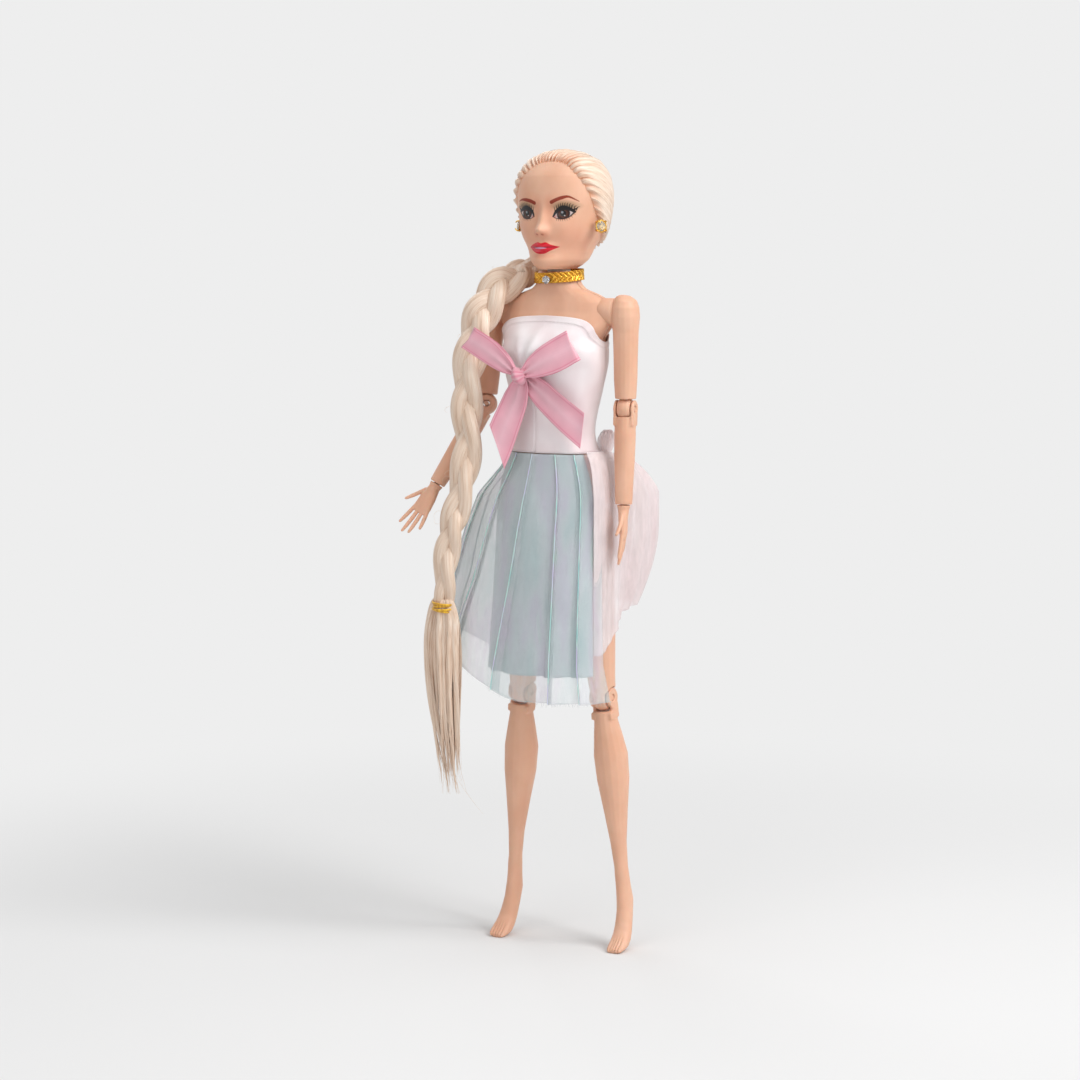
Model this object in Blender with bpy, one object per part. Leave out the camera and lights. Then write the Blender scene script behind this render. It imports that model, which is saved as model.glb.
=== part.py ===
"""Jointed fashion doll, one sixth scale, on tiptoe feet, in a satin top and a sheer skirt, with one long braid.

X points to the doll's left, -Y to its front and Z up. Each limb hangs from empties that sit on its joints, and the
limb pieces are modelled in the frame of the joint that carries them.
"""

import math

import bmesh
import bpy
from mathutils import Matrix, Vector

MM = 0.001

# Clearances
GAP = 0.3 * MM
LOOSE_GAP = 0.55 * MM
OVERRUN = 1.0 * MM
SEAM_GAP = 0.3 * MM
WELD = 0.01 * MM

# Torso
TORSO_BOTTOM = 163 * MM
TORSO_HEIGHT = 83.4 * MM
SHOULDER_HALF = 21.5 * MM
CHEST_DEPTH = 16 * MM
SHELL_WALL = 1.6 * MM
NECK_Y = 2 * MM
CROTCH_HALF = 4 * MM
CROTCH_BOTTOM = 146 * MM
CROTCH_DEPTH = 8 * MM

# Neck and head
KNOB_STEM_RADIUS = 4.2 * MM
KNOB_STEM = 4.6 * MM
KNOB_RADIUS = 6.4 * MM
KNOB_HEIGHT = 5 * MM
KNOB_ROOT = 4 * MM
NECK_TOP = TORSO_BOTTOM + TORSO_HEIGHT
HEAD_CLEARANCE = 0.9 * MM
HEAD_BOTTOM = NECK_TOP + HEAD_CLEARANCE
HEAD_HEIGHT = 41 * MM
HEAD_HALF = 16.2 * MM
HEAD_DEPTH = 18 * MM
HEAD_Y = 5 * MM
NOSE_LENGTH = 3.4 * MM
HAIR_THICKNESS = 1.5 * MM
STONE_RADIUS = 2 * MM
CLAW_DEPTH = 1.5 * MM
STONE_DEPTH = 1.3 * MM

# Choker
CHOKER_HEIGHT = 3.3 * MM
CHOKER_THICKNESS = 0.6 * MM
CHOKER_DROP = 4 * MM
CHOKER_BOTTOM = NECK_TOP - CHOKER_DROP
PENDANT_RADIUS = 1.6 * MM
PENDANT_DEPTH = 1.0 * MM

# Arm
SHOULDER_SHARE = 0.83
SHOULDER_Z = TORSO_BOTTOM + TORSO_HEIGHT * SHOULDER_SHARE
SHOULDER_Y = 1.5 * MM
UPPER_ARM_LENGTH = 34.2 * MM
UPPER_ARM_WIDTH = 10 * MM
UPPER_ARM_DEPTH = 11 * MM
SHOULDER_PEG_RADIUS = 2.2 * MM
SHOULDER_PEG_REACH = 3.5 * MM
SHOULDER_DISC_RADIUS = 3.3 * MM
SHOULDER_DISC = 1.2 * MM
ELBOW_RADIUS = 4 * MM
ELBOW_TONGUE = 4.8 * MM
ELBOW_EAR_RADIUS = 3.2 * MM
ELBOW_PEG_RADIUS = 1.5 * MM
ELBOW_PEG_LENGTH = 9 * MM
PIN_RADIUS = 0.9 * MM
FOREARM_LENGTH = 34 * MM
FOREARM_WIDTH = 7.8 * MM
WRIST_PEG_RADIUS = 1.1 * MM
WRIST_PEG_LENGTH = 4.5 * MM
PALM_LENGTH = 12.5 * MM
PALM_WIDTH = 7.2 * MM
PALM_THICKNESS = 3.2 * MM
FINGER_LENGTH = 8.6 * MM
FINGER_RADIUS = 0.85 * MM
THUMB_LENGTH = 7.2 * MM

# Leg
HIP_HALF = 11.5 * MM
HIP_Z = 155 * MM
HIP_Y = 0.6 * MM
HIP_RADIUS = 10.3 * MM
HIP_PEG_RADIUS = 2.6 * MM
THIGH_LENGTH = 62.7 * MM
THIGH_WIDTH = 19 * MM
KNEE_RADIUS = 4.8 * MM
KNEE_TONGUE = 4.8 * MM
KNEE_EAR_RADIUS = 3.7 * MM
SHIN_LENGTH = 93 * MM
CALF_WIDTH = 12.6 * MM
FOOT_WIDTH = 7.4 * MM
SPLAY = math.radians(4.8)
LEG_LEAN = math.radians(3.8)

# Pose in which the doll stands
SWING = {"left": math.radians(0), "right": math.radians(8)}
ELBOW_TWIST = {"left": math.radians(8), "right": math.radians(-62)}
ELBOW_BEND = {"left": math.radians(3), "right": math.radians(28)}
WRIST_TWIST = {"left": math.radians(-80), "right": math.radians(62)}

ROUND = 24
SMALL_ROUND = 12


def drop(obj):
    bpy.data.objects.remove(obj, do_unlink=True)


def clear_scene():
    for obj in list(bpy.data.objects):
        drop(obj)


def make_material(name, colour, roughness, metallic=0.0, alpha=1.0):
    material = bpy.data.materials.new(name)
    material.use_nodes = True
    shader = material.node_tree.nodes["Principled BSDF"]
    shader.inputs["Base Color"].default_value = (*colour, 1)
    shader.inputs["Roughness"].default_value = roughness
    shader.inputs["Metallic"].default_value = metallic
    shader.inputs["Alpha"].default_value = alpha
    material.diffuse_color = (*colour, alpha)
    return material


def from_bmesh(name, bm, material):
    bmesh.ops.recalc_face_normals(bm, faces=bm.faces)
    mesh = bpy.data.meshes.new(name)
    bm.to_mesh(mesh)
    bm.free()
    if material:
        mesh.materials.append(material)
    mesh.shade_smooth()
    mesh.set_sharp_from_angle(angle=math.radians(40))
    obj = bpy.data.objects.new(name, mesh)
    bpy.context.scene.collection.objects.link(obj)
    return obj


def loft(name, rings, material=None):
    """A closed solid through a list of rings that all have the same number of points."""
    bm = bmesh.new()
    rows = [[bm.verts.new(point) for point in ring] for ring in rings]
    count = len(rows[0])
    for low, high in zip(rows, rows[1:]):
        for k in range(count):
            n = (k + 1) % count
            bm.faces.new((low[k], low[n], high[n], high[k]))
    bm.faces.new(rows[0])
    bm.faces.new(rows[-1])
    return from_bmesh(name, bm, material)


def wall(name, outer, inner, closed, material=None):
    """A thin solid between two grids of the same size. Closed grids join their last column to their first."""
    bm = bmesh.new()
    faces = [[[bm.verts.new(point) for point in row] for row in grid] for grid in (outer, inner)]
    rows, columns = len(outer), len(outer[0])
    spans = range(columns if closed else columns - 1)
    for grid in faces:
        for j in range(rows - 1):
            for k in spans:
                n = (k + 1) % columns
                bm.faces.new((grid[j][k], grid[j][n], grid[j + 1][n], grid[j + 1][k]))
    out, back = faces
    for j in (0, rows - 1):
        for k in spans:
            n = (k + 1) % columns
            bm.faces.new((out[j][k], out[j][n], back[j][n], back[j][k]))
    if not closed:
        for k in (0, columns - 1):
            for j in range(rows - 1):
                bm.faces.new((out[j][k], out[j + 1][k], back[j + 1][k], back[j][k]))
    return from_bmesh(name, bm, material)


def oval(x, y, z, half, front, back, count=ROUND, power=1.0):
    """A level ring whose point 0 is at the front (-Y), with its own depth to the front and to the back."""
    ring = []
    for k in range(count):
        angle = math.tau * k / count
        side, ahead = math.sin(angle), math.cos(angle)
        side = math.copysign(abs(side) ** power, side)
        ahead = math.copysign(abs(ahead) ** power, ahead)
        ring.append(Vector((x + half * side, y - ahead * (front if ahead > 0 else back), z)))
    return ring


def disc_ring(centre, along, radius, count=SMALL_ROUND, flat=1.0, across=None):
    """A ring square to a direction. Flat squeezes it along the second direction, across."""
    along = Vector(along).normalized()
    second = Vector(across) if across else along.orthogonal()
    second = (second - along * second.dot(along)).normalized()
    first = along.cross(second)
    turns = [math.tau * k / count for k in range(count)]
    return [Vector(centre) + radius * (first * math.cos(a) + second * math.sin(a) * flat) for a in turns]


def rod(name, start, end, radius, material=None, count=SMALL_ROUND, end_radius=None):
    start, end = Vector(start), Vector(end)
    along = end - start
    last = radius if end_radius is None else end_radius
    return loft(name, [disc_ring(start, along, radius, count), disc_ring(end, along, last, count)], material)


def turned(name, origin, along, profile, material=None, count=SMALL_ROUND):
    """A turned piece: profile is a list of (distance along the axis, radius)."""
    along = Vector(along).normalized()
    rings = [disc_ring(Vector(origin) + along * place, along, radius, count) for place, radius in profile]
    return loft(name, rings, material)


def ball(name, centre, radius, material=None, columns=16, rows=10):
    bm = bmesh.new()
    bmesh.ops.create_uvsphere(bm, u_segments=columns, v_segments=rows, radius=radius)
    bmesh.ops.translate(bm, verts=bm.verts, vec=Vector(centre))
    return from_bmesh(name, bm, material)


def block(name, low, high, material=None):
    bm = bmesh.new()
    bmesh.ops.create_cube(bm, size=1)
    low, high = Vector(low), Vector(high)
    bmesh.ops.scale(bm, verts=bm.verts, vec=high - low)
    bmesh.ops.translate(bm, verts=bm.verts, vec=(low + high) / 2)
    return from_bmesh(name, bm, material)


def weld(mesh):
    """Joins points that a cut left closer together than a mould could show, and says if the mesh is closed."""
    bm = bmesh.new()
    bm.from_mesh(mesh)
    bmesh.ops.remove_doubles(bm, verts=bm.verts, dist=WELD)
    bmesh.ops.dissolve_degenerate(bm, dist=WELD, edges=bm.edges)
    closed = all(edge.is_manifold for edge in bm.edges)
    bm.to_mesh(mesh)
    bm.free()
    return closed


def combine(obj, tool, operation, keep=False):
    """Joins the tool to the object, or cuts it out, and keeps the result as the object's mesh.

    EXACT leaves a stray triangle on some cuts that graze a face. Those cuts are made by MANIFOLD.
    """
    modifier = obj.modifiers.new(operation, "BOOLEAN")
    modifier.operation = operation
    modifier.object = tool
    for solver in ("EXACT", "MANIFOLD"):
        modifier.solver = solver
        bpy.context.view_layer.update()
        graph = bpy.context.evaluated_depsgraph_get()
        mesh = bpy.data.meshes.new_from_object(obj.evaluated_get(graph))
        if weld(mesh):
            break
    obj.modifiers.clear()
    obj.data = mesh
    if not keep:
        drop(tool)
    return obj


def cut(obj, tool, keep=False):
    return combine(obj, tool, "DIFFERENCE", keep)


def fuse(obj, tool):
    return combine(obj, tool, "UNION")


def mirror(obj):
    """Turns a left piece into a right one."""
    bm = bmesh.new()
    bm.from_mesh(obj.data)
    bmesh.ops.scale(bm, verts=bm.verts, vec=(-1, 1, 1))
    bmesh.ops.reverse_faces(bm, faces=bm.faces)
    bm.to_mesh(obj.data)
    bm.free()


def between(rows, place):
    """The row of a table at a place, where each row starts with its own place and the values run smoothly."""
    place = min(max(place, rows[0][0]), rows[-1][0])
    k = next(i for i in range(len(rows) - 1) if place <= rows[i + 1][0])
    a, b = rows[k], rows[k + 1]
    before, after = rows[max(k - 1, 0)], rows[min(k + 2, len(rows) - 1)]
    t = (place - a[0]) / (b[0] - a[0])
    values = []
    for p, q, r, s in zip(before, a, b, after):
        start, end = (r - p) / 2, (s - q) / 2
        curve = (2 * t**3 - 3 * t**2 + 1) * q + (t**3 - 2 * t**2 + t) * start
        values.append(curve + (-2 * t**3 + 3 * t**2) * r + (t**3 - t**2) * end)
    return values[1:]


def smooth_route(points, count):
    """Evenly spaced places on a smooth curve through the points."""
    rows = [(i, *point) for i, point in enumerate(points)]
    last = len(points) - 1
    return [Vector(between(rows, last * k / (count - 1))) for k in range(count)]


# Height share of the torso, half width, front depth and back depth as shares, and the middle's shift backwards
TORSO_SHARES = [
    (0.00, 0.930, 0.69, 0.76, 0.03),
    (0.06, 0.967, 0.72, 0.79, 0.03),
    (0.13, 0.898, 0.70, 0.71, 0.00),
    (0.22, 0.772, 0.68, 0.57, -0.05),
    (0.30, 0.688, 0.66, 0.50, -0.06),
    (0.40, 0.707, 0.67, 0.55, -0.05),
    (0.49, 0.781, 0.73, 0.62, -0.03),
    (0.59, 0.865, 0.88, 0.67, 0.00),
    (0.66, 0.884, 0.97, 0.69, 0.00),
    (0.72, 0.870, 0.86, 0.68, 0.03),
    (0.78, 1.030, 0.62, 0.64, 0.07),
    (0.83, 1.060, 0.48, 0.57, 0.09),
    (0.87, 0.990, 0.42, 0.50, 0.10),
    (0.90, 0.760, 0.40, 0.46, 0.12),
    (0.925, 0.480, 0.42, 0.45, 0.13),
    (0.95, 0.375, 0.44, 0.44, 0.13),
    (1.00, 0.355, 0.45, 0.45, 0.13),
]


def torso_ring(z, grow=0.0, count=ROUND, face_half=SHOULDER_HALF):
    half, front, back, shift = between(TORSO_SHARES, (z - TORSO_BOTTOM) / TORSO_HEIGHT)
    ring = oval(
        0, shift * CHEST_DEPTH, z, half * SHOULDER_HALF + grow,
        front * CHEST_DEPTH + grow, back * CHEST_DEPTH + grow, count, 0.92,
    )
    for point in ring:
        point.x = max(-face_half, min(face_half, point.x))
    return ring


def torso_levels(shares):
    return [TORSO_BOTTOM + share * TORSO_HEIGHT for share in shares]


def make_torso(skin):
    """Two moulded shells, parted front and back, with bearings for the pegs of head, arms and legs."""
    level_shares = [0, 0.06, 0.13, 0.22, 0.30, 0.40, 0.49, 0.59, 0.66, 0.72, 0.78, 0.83, 0.87, 0.90, 0.925, 0.95, 1]
    levels = torso_levels(level_shares)
    body = loft("torso_front", [torso_ring(z) for z in levels], skin)
    untrimmed = CROTCH_HALF + OVERRUN
    crotch = loft(
        "crotch",
        [
            oval(0, HIP_Y, CROTCH_BOTTOM, CROTCH_HALF * 0.8, CROTCH_DEPTH * 0.5, CROTCH_DEPTH * 0.6, SMALL_ROUND),
            oval(0, HIP_Y, CROTCH_BOTTOM + CROTCH_HALF * 0.5, untrimmed, CROTCH_DEPTH, CROTCH_DEPTH, SMALL_ROUND),
            oval(0, HIP_Y, TORSO_BOTTOM + OVERRUN, untrimmed, CROTCH_DEPTH, CROTCH_DEPTH * 1.2, SMALL_ROUND),
        ],
    )
    fuse(body, crotch)
    cavity_shares = [0.13, 0.22, 0.30, 0.40, 0.49, 0.59, 0.66, 0.72, 0.78, 0.83, 0.87, 0.90]
    inside = SHOULDER_HALF - SHELL_WALL
    cut(body, loft("cavity", [torso_ring(z, -SHELL_WALL, 16, inside) for z in torso_levels(cavity_shares)]))
    # The thighs' round heads turn in these two recesses
    for side in (-1, 1):
        recess = HIP_RADIUS + LOOSE_GAP
        start = (side * CROTCH_HALF, HIP_Y, HIP_Z)
        cut(body, rod("recess", start, (side * SHOULDER_HALF * 1.2, HIP_Y, HIP_Z), recess, count=ROUND))
        # The shoulder's bearing
        start = (side * (SHOULDER_HALF - SHELL_WALL - OVERRUN), SHOULDER_Y, SHOULDER_Z)
        end = (side * (SHOULDER_HALF + OVERRUN), SHOULDER_Y, SHOULDER_Z)
        cut(body, rod("bearing", start, end, SHOULDER_PEG_RADIUS + GAP))
        inside = SHOULDER_HALF - SHELL_WALL
        start = (side * (inside - SHOULDER_DISC - GAP * 3), SHOULDER_Y, SHOULDER_Z)
        cut(body, rod("pocket", start, (side * inside, SHOULDER_Y, SHOULDER_Z), SHOULDER_DISC_RADIUS + GAP))
    # The hip axle's bore runs through the crotch
    reach = CROTCH_HALF + OVERRUN
    cut(body, rod("axle_bore", (-reach, HIP_Y, HIP_Z), (reach, HIP_Y, HIP_Z), HIP_PEG_RADIUS + GAP))
    # The neck knob's socket
    socket = turned(
        "socket", (0, NECK_Y, NECK_TOP + OVERRUN), (0, 0, -1),
        [
            (0, KNOB_STEM_RADIUS + GAP),
            (OVERRUN + KNOB_ROOT + GAP, KNOB_STEM_RADIUS + GAP),
        ],
    )
    cut(body, socket)
    big = SHOULDER_HALF * 2
    back = body.copy()
    back.data = body.data.copy()
    back.name = "torso_back"
    bpy.context.scene.collection.objects.link(back)
    seam = NECK_Y * 0.5
    low_z, high_z = CROTCH_BOTTOM - big, NECK_TOP + big
    cut(body, block("behind", (-big, seam - SEAM_GAP / 2, low_z), (big, big, high_z)))
    cut(back, block("ahead", (-big, -big, low_z), (big, seam + SEAM_GAP / 2, high_z)))
    return body, back


def make_neck(skin):
    profile = [
        (0, KNOB_STEM_RADIUS),
        (KNOB_ROOT + KNOB_STEM, KNOB_STEM_RADIUS),
        (KNOB_ROOT + KNOB_STEM, KNOB_RADIUS),
        (KNOB_ROOT + KNOB_STEM + KNOB_HEIGHT * 0.3, KNOB_RADIUS),
        (KNOB_ROOT + KNOB_STEM + KNOB_HEIGHT, KNOB_RADIUS * 0.5),
    ]
    return turned("neck_knob", (0, NECK_Y, NECK_TOP - KNOB_ROOT), (0, 0, 1), profile, skin, 16)


# Height share of the head, half width share, front and back depth shares
HEAD_SHARES = [
    (0.000, 0.34, 0.80, 0.11),
    (0.030, 0.46, 0.87, 0.25),
    (0.080, 0.60, 0.90, 0.45),
    (0.140, 0.70, 0.87, 0.60),
    (0.240, 0.82, 0.86, 0.74),
    (0.360, 0.91, 0.85, 0.85),
    (0.500, 0.97, 0.82, 0.92),
    (0.650, 1.00, 0.81, 0.94),
    (0.800, 0.93, 0.72, 0.86),
    (0.910, 0.74, 0.52, 0.66),
    (0.975, 0.42, 0.28, 0.36),
    (1.000, 0.12, 0.08, 0.10),
]
# Side share of the head's half width, height share, spread sideways and upwards as shares, and rise off the face
# as a share of the nose's length
FACE_SHARES = [
    (0.00, 0.335, 0.10, 0.030, 0.70),
    (0.00, 0.390, 0.08, 0.060, 0.45),
    (0.00, 0.480, 0.07, 0.070, 0.22),
    (0.07, 0.325, 0.06, 0.025, 0.22),
    (0.43, 0.490, 0.17, 0.045, -0.38),
    (0.40, 0.575, 0.24, 0.030, 0.14),
    (0.52, 0.330, 0.20, 0.080, 0.22),
    (0.00, 0.205, 0.20, 0.017, 0.42),
    (0.00, 0.170, 0.15, 0.016, 0.44),
    (0.00, 0.070, 0.24, 0.050, 0.40),
]
# Angle round the head from the front in turns, and the hairline's height share there
HAIRLINE_SHARES = [
    (0.00, 0.925),
    (0.07, 0.900),
    (0.12, 0.800),
    (0.16, 0.680),
    (0.20, 0.520),
    (0.25, 0.370),
    (0.31, 0.270),
    (0.40, 0.170),
    (0.50, 0.140),
]
HEAD_COLUMNS = 32
HEAD_ROW_SHARES = [0, 0.03, 0.065, 0.10, 0.135, 0.165, 0.188, 0.21, 0.24, 0.275, 0.31, 0.335, 0.365, 0.41]
HEAD_ROW_SHARES += [0.46, 0.50, 0.55, 0.61, 0.70, 0.80, 0.88, 0.94, 0.975, 1]


def head_turns():
    """Places round the head in turns, closer together over the face."""
    steps = [k / HEAD_COLUMNS - 0.5 for k in range(HEAD_COLUMNS)]
    return [t - 0.45 * math.sin(math.tau * t) / math.tau for t in steps]


def head_point(turn, share, grow=0.0):
    """A place on the vinyl face and skull. Turn 0 is the nose, and a positive turn goes to the doll's left."""
    half, front, back = between(HEAD_SHARES, share)
    side, ahead = math.sin(math.tau * turn), math.cos(math.tau * turn)
    x = (half * HEAD_HALF + grow) * math.copysign(abs(side) ** 0.92, side)
    depth = (front if ahead > 0 else back) * HEAD_DEPTH + grow
    y = HEAD_Y - depth * math.copysign(abs(ahead) ** 0.88, ahead)
    if ahead > 0:
        place = abs(x) / HEAD_HALF
        for middle, height, wide, tall, rise in FACE_SHARES:
            away = ((place - middle) / wide) ** 2 + ((share - height) / tall) ** 2
            y -= NOSE_LENGTH * rise * math.exp(-away / 2) * ahead
    return Vector((x, y, HEAD_BOTTOM + share * HEAD_HEIGHT))


def make_head(skin):
    turns = head_turns()
    head = loft("head", [[head_point(turn, share) for turn in turns] for share in HEAD_ROW_SHARES], skin)
    floor = NECK_TOP + KNOB_STEM - GAP
    room = KNOB_RADIUS + GAP
    cavity = loft(
        "cavity",
        [
            oval(0, NECK_Y, floor, room, room, room, 16),
            oval(0, NECK_Y, floor + KNOB_HEIGHT, room, room, room, 16),
            oval(0, HEAD_Y, HEAD_BOTTOM + HEAD_HEIGHT * 0.40, HEAD_HALF * 0.75, HEAD_DEPTH * 0.6, HEAD_DEPTH * 0.68, 16),
            oval(0, HEAD_Y, HEAD_BOTTOM + HEAD_HEIGHT * 0.65, HEAD_HALF * 0.85, HEAD_DEPTH * 0.6, HEAD_DEPTH * 0.8, 16),
            oval(0, HEAD_Y, HEAD_BOTTOM + HEAD_HEIGHT * 0.88, HEAD_HALF * 0.55, HEAD_DEPTH * 0.35, HEAD_DEPTH * 0.5, 16),
        ],
    )
    hole = rod("hole", (0, NECK_Y, floor - KNOB_STEM), (0, NECK_Y, floor + OVERRUN), KNOB_STEM_RADIUS + GAP)
    fuse(cavity, hole)
    return cut(head, cavity)


def make_hair_cap(hair):
    """Rooted hair combed back over the skull, from the hairline down to the nape."""
    turns = head_turns()
    steps = [0, 0.05, 0.14, 0.27, 0.45, 0.62, 0.78, 0.90, 1.0]
    rows = []
    for grow in (GAP + HAIR_THICKNESS, -HAIR_THICKNESS):
        shell = []
        for step in steps:
            row = []
            for turn in turns:
                (low,) = between(HAIRLINE_SHARES, abs(turn))
                share = min(1 - (1 - low) * step, 1)
                point = head_point(turn, share, grow)
                point.z += grow * 0.85 * max(0.0, (share - 0.6) / 0.4)
                row.append(point)
            shell.append(row)
        rows += shell if grow > 0 else shell[::-1]
    cap = loft("hair_cap", rows, hair)
    grown = []
    for share in HEAD_ROW_SHARES:
        row = [head_point(turn, share, GAP) for turn in turns]
        for point in row:
            point.z += GAP * (1 if share > 0.6 else 0)
        grown.append(row)
    return cut(cap, loft("skull", grown))


def make_earring(side, gold, stone):
    ear = head_point(0.215 * side, 0.365)
    ear.x += side * GAP
    out = Vector((side, 0, 0))
    lip = STONE_RADIUS * 1.15
    claw = turned(
        "claw", ear, out,
        [(0, STONE_RADIUS * 0.5), (CLAW_DEPTH * 0.4, STONE_RADIUS * 0.6), (CLAW_DEPTH, lip)], gold, 8,
    )
    seat = ear + out * (CLAW_DEPTH + GAP)
    gem = turned(
        "gem", seat, out,
        [(0, STONE_RADIUS * 0.9), (STONE_DEPTH * 0.4, STONE_RADIUS), (STONE_DEPTH, STONE_RADIUS * 0.55)], stone, 8,
    )
    return claw, gem


# Drop share of the upper arm, width and depth shares, and the middle's place outwards as a share of the width
UPPER_ARM_SHARES = [
    (-0.180, 0.16, 0.16, 0.42),
    (-0.168, 0.50, 0.48, 0.46),
    (-0.120, 0.84, 0.80, 0.52),
    (-0.050, 0.99, 0.96, 0.53),
    (0.050, 1.02, 1.00, 0.54),
    (0.130, 0.98, 0.94, 0.54),
    (0.210, 0.92, 0.84, 0.55),
    (0.450, 0.88, 0.79, 0.55),
    (0.680, 0.85, 0.77, 0.55),
    (0.900, 0.76, 0.70, 0.55),
    (1.000, 0.74, 0.68, 0.55),
]
FOREARM_SHARES = [
    (0.00, 0.92, 0.92),
    (0.13, 0.95, 0.95),
    (0.27, 1.00, 1.02),
    (0.55, 0.95, 0.95),
    (0.80, 0.86, 0.84),
    (1.00, 0.80, 0.76),
]


def arm_x():
    """How far out the elbow and the wrist hang from the shoulder's flat face."""
    return UPPER_ARM_WIDTH * 0.55


def make_upper_arm(skin):
    rings = []
    for drop_share, width, depth, out in UPPER_ARM_SHARES:
        half = UPPER_ARM_WIDTH * width / 2
        deep = UPPER_ARM_DEPTH * depth / 2
        ring = oval(UPPER_ARM_WIDTH * out, 0, -UPPER_ARM_LENGTH * drop_share, half, deep, deep, 16)
        for point in ring:
            point.x = max(point.x, GAP)
        rings.append(ring)
    arm = loft("upper_arm", rings, skin)
    elbow = Vector((arm_x(), 0, -UPPER_ARM_LENGTH))
    cut(arm, ball("cup", elbow, ELBOW_RADIUS + LOOSE_GAP, columns=12, rows=8))
    big = UPPER_ARM_LENGTH
    cut(arm, block("end", (-big, -big, elbow.z - big), (big, big, elbow.z + ELBOW_EAR_RADIUS + GAP)))
    bore = rod("bore", elbow, elbow + Vector((0, 0, ELBOW_PEG_LENGTH + GAP)), ELBOW_PEG_RADIUS + GAP)
    cut(arm, bore)
    peg = SHOULDER_PEG_REACH + GAP
    return cut(arm, rod("socket", (-OVERRUN, 0, 0), (peg, 0, 0), SHOULDER_PEG_RADIUS + GAP))


def make_shoulder_peg(steel):
    inside = SHELL_WALL + GAP
    profile = [
        (-inside - SHOULDER_DISC, SHOULDER_DISC_RADIUS),
        (-inside, SHOULDER_DISC_RADIUS),
        (-inside, SHOULDER_PEG_RADIUS),
        (SHOULDER_PEG_REACH, SHOULDER_PEG_RADIUS),
    ]
    return turned("shoulder_peg", (0, 0, 0), (1, 0, 0), profile, steel)


def make_knuckle(name, radius, tongue, pin_radius, material):
    """The rounded tongue of a hinge: a ball with two flat cheeks and the pin's bore."""
    knuckle = ball(name, (0, 0, 0), radius, material, 16, 12)
    big = radius * 2
    cut(knuckle, block("cheek", (tongue / 2, -big, -big), (big, big, big)))
    cut(knuckle, block("cheek", (-big, -big, -big), (-tongue / 2, big, big)))
    return cut(knuckle, rod("bore", (-big, 0, 0), (big, 0, 0), pin_radius + GAP, count=SMALL_ROUND))


def make_elbow_link(skin):
    link = make_knuckle("elbow_link", ELBOW_RADIUS, ELBOW_TONGUE, PIN_RADIUS, skin)
    peg = rod("peg", (0, 0, ELBOW_RADIUS * 0.8), (0, 0, ELBOW_PEG_LENGTH), ELBOW_PEG_RADIUS)
    return fuse(link, peg)


def make_ears(name, radius, tongue, outer, length, material):
    """Two cheeks that hold a hinge pin, one on each side of the tongue, with their roots below."""
    ears = []
    for side in (-1, 1):
        start = side * (tongue / 2 + GAP)
        end = side * outer
        ear = rod(name, (start, 0, 0), (end, 0, 0), radius, material, 16)
        low, high = sorted((start, end))
        fuse(ear, block("root", (low, -radius * 0.9, -length), (high, radius * 0.9, -radius * 0.2)))
        ears.append(ear)
    return ears


def make_forearm(skin):
    rings = []
    for drop_share, width, depth in FOREARM_SHARES:
        half = FOREARM_WIDTH * width / 2
        deep = FOREARM_WIDTH * depth / 2
        rings.append(oval(0, 0, -FOREARM_LENGTH * drop_share, half, deep, deep, 16))
    arm = loft("forearm", rings, skin)
    cut(arm, ball("cup", (0, 0, 0), ELBOW_RADIUS + LOOSE_GAP, columns=12, rows=8))
    outer = FOREARM_WIDTH * 0.48
    for ear in make_ears("ear", ELBOW_EAR_RADIUS, ELBOW_TONGUE, outer, ELBOW_RADIUS * 1.5, skin):
        fuse(arm, ear)
    cut(arm, rod("pin_bore", (-ELBOW_RADIUS, 0, 0), (ELBOW_RADIUS, 0, 0), PIN_RADIUS + GAP))
    wrist = -FOREARM_LENGTH
    bore = rod("bore", (0, 0, wrist - OVERRUN), (0, 0, wrist + WRIST_PEG_LENGTH + GAP), WRIST_PEG_RADIUS + GAP)
    return cut(arm, bore)


def make_pin(name, half_length, material, radius=PIN_RADIUS):
    return rod(name, (-half_length, 0, 0), (half_length, 0, 0), radius, material, SMALL_ROUND)


# Side share of the palm, start drop share, lean outwards in degrees, length share and curl of each finger
FINGERS_SHARES = [
    (-0.36, 0.90, 12, 0.95, 0.10),
    (-0.12, 0.98, 3, 1.10, 0.14),
    (0.12, 0.97, -3, 1.02, 0.18),
    (0.35, 0.88, -12, 0.80, 0.12),
]


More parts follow.
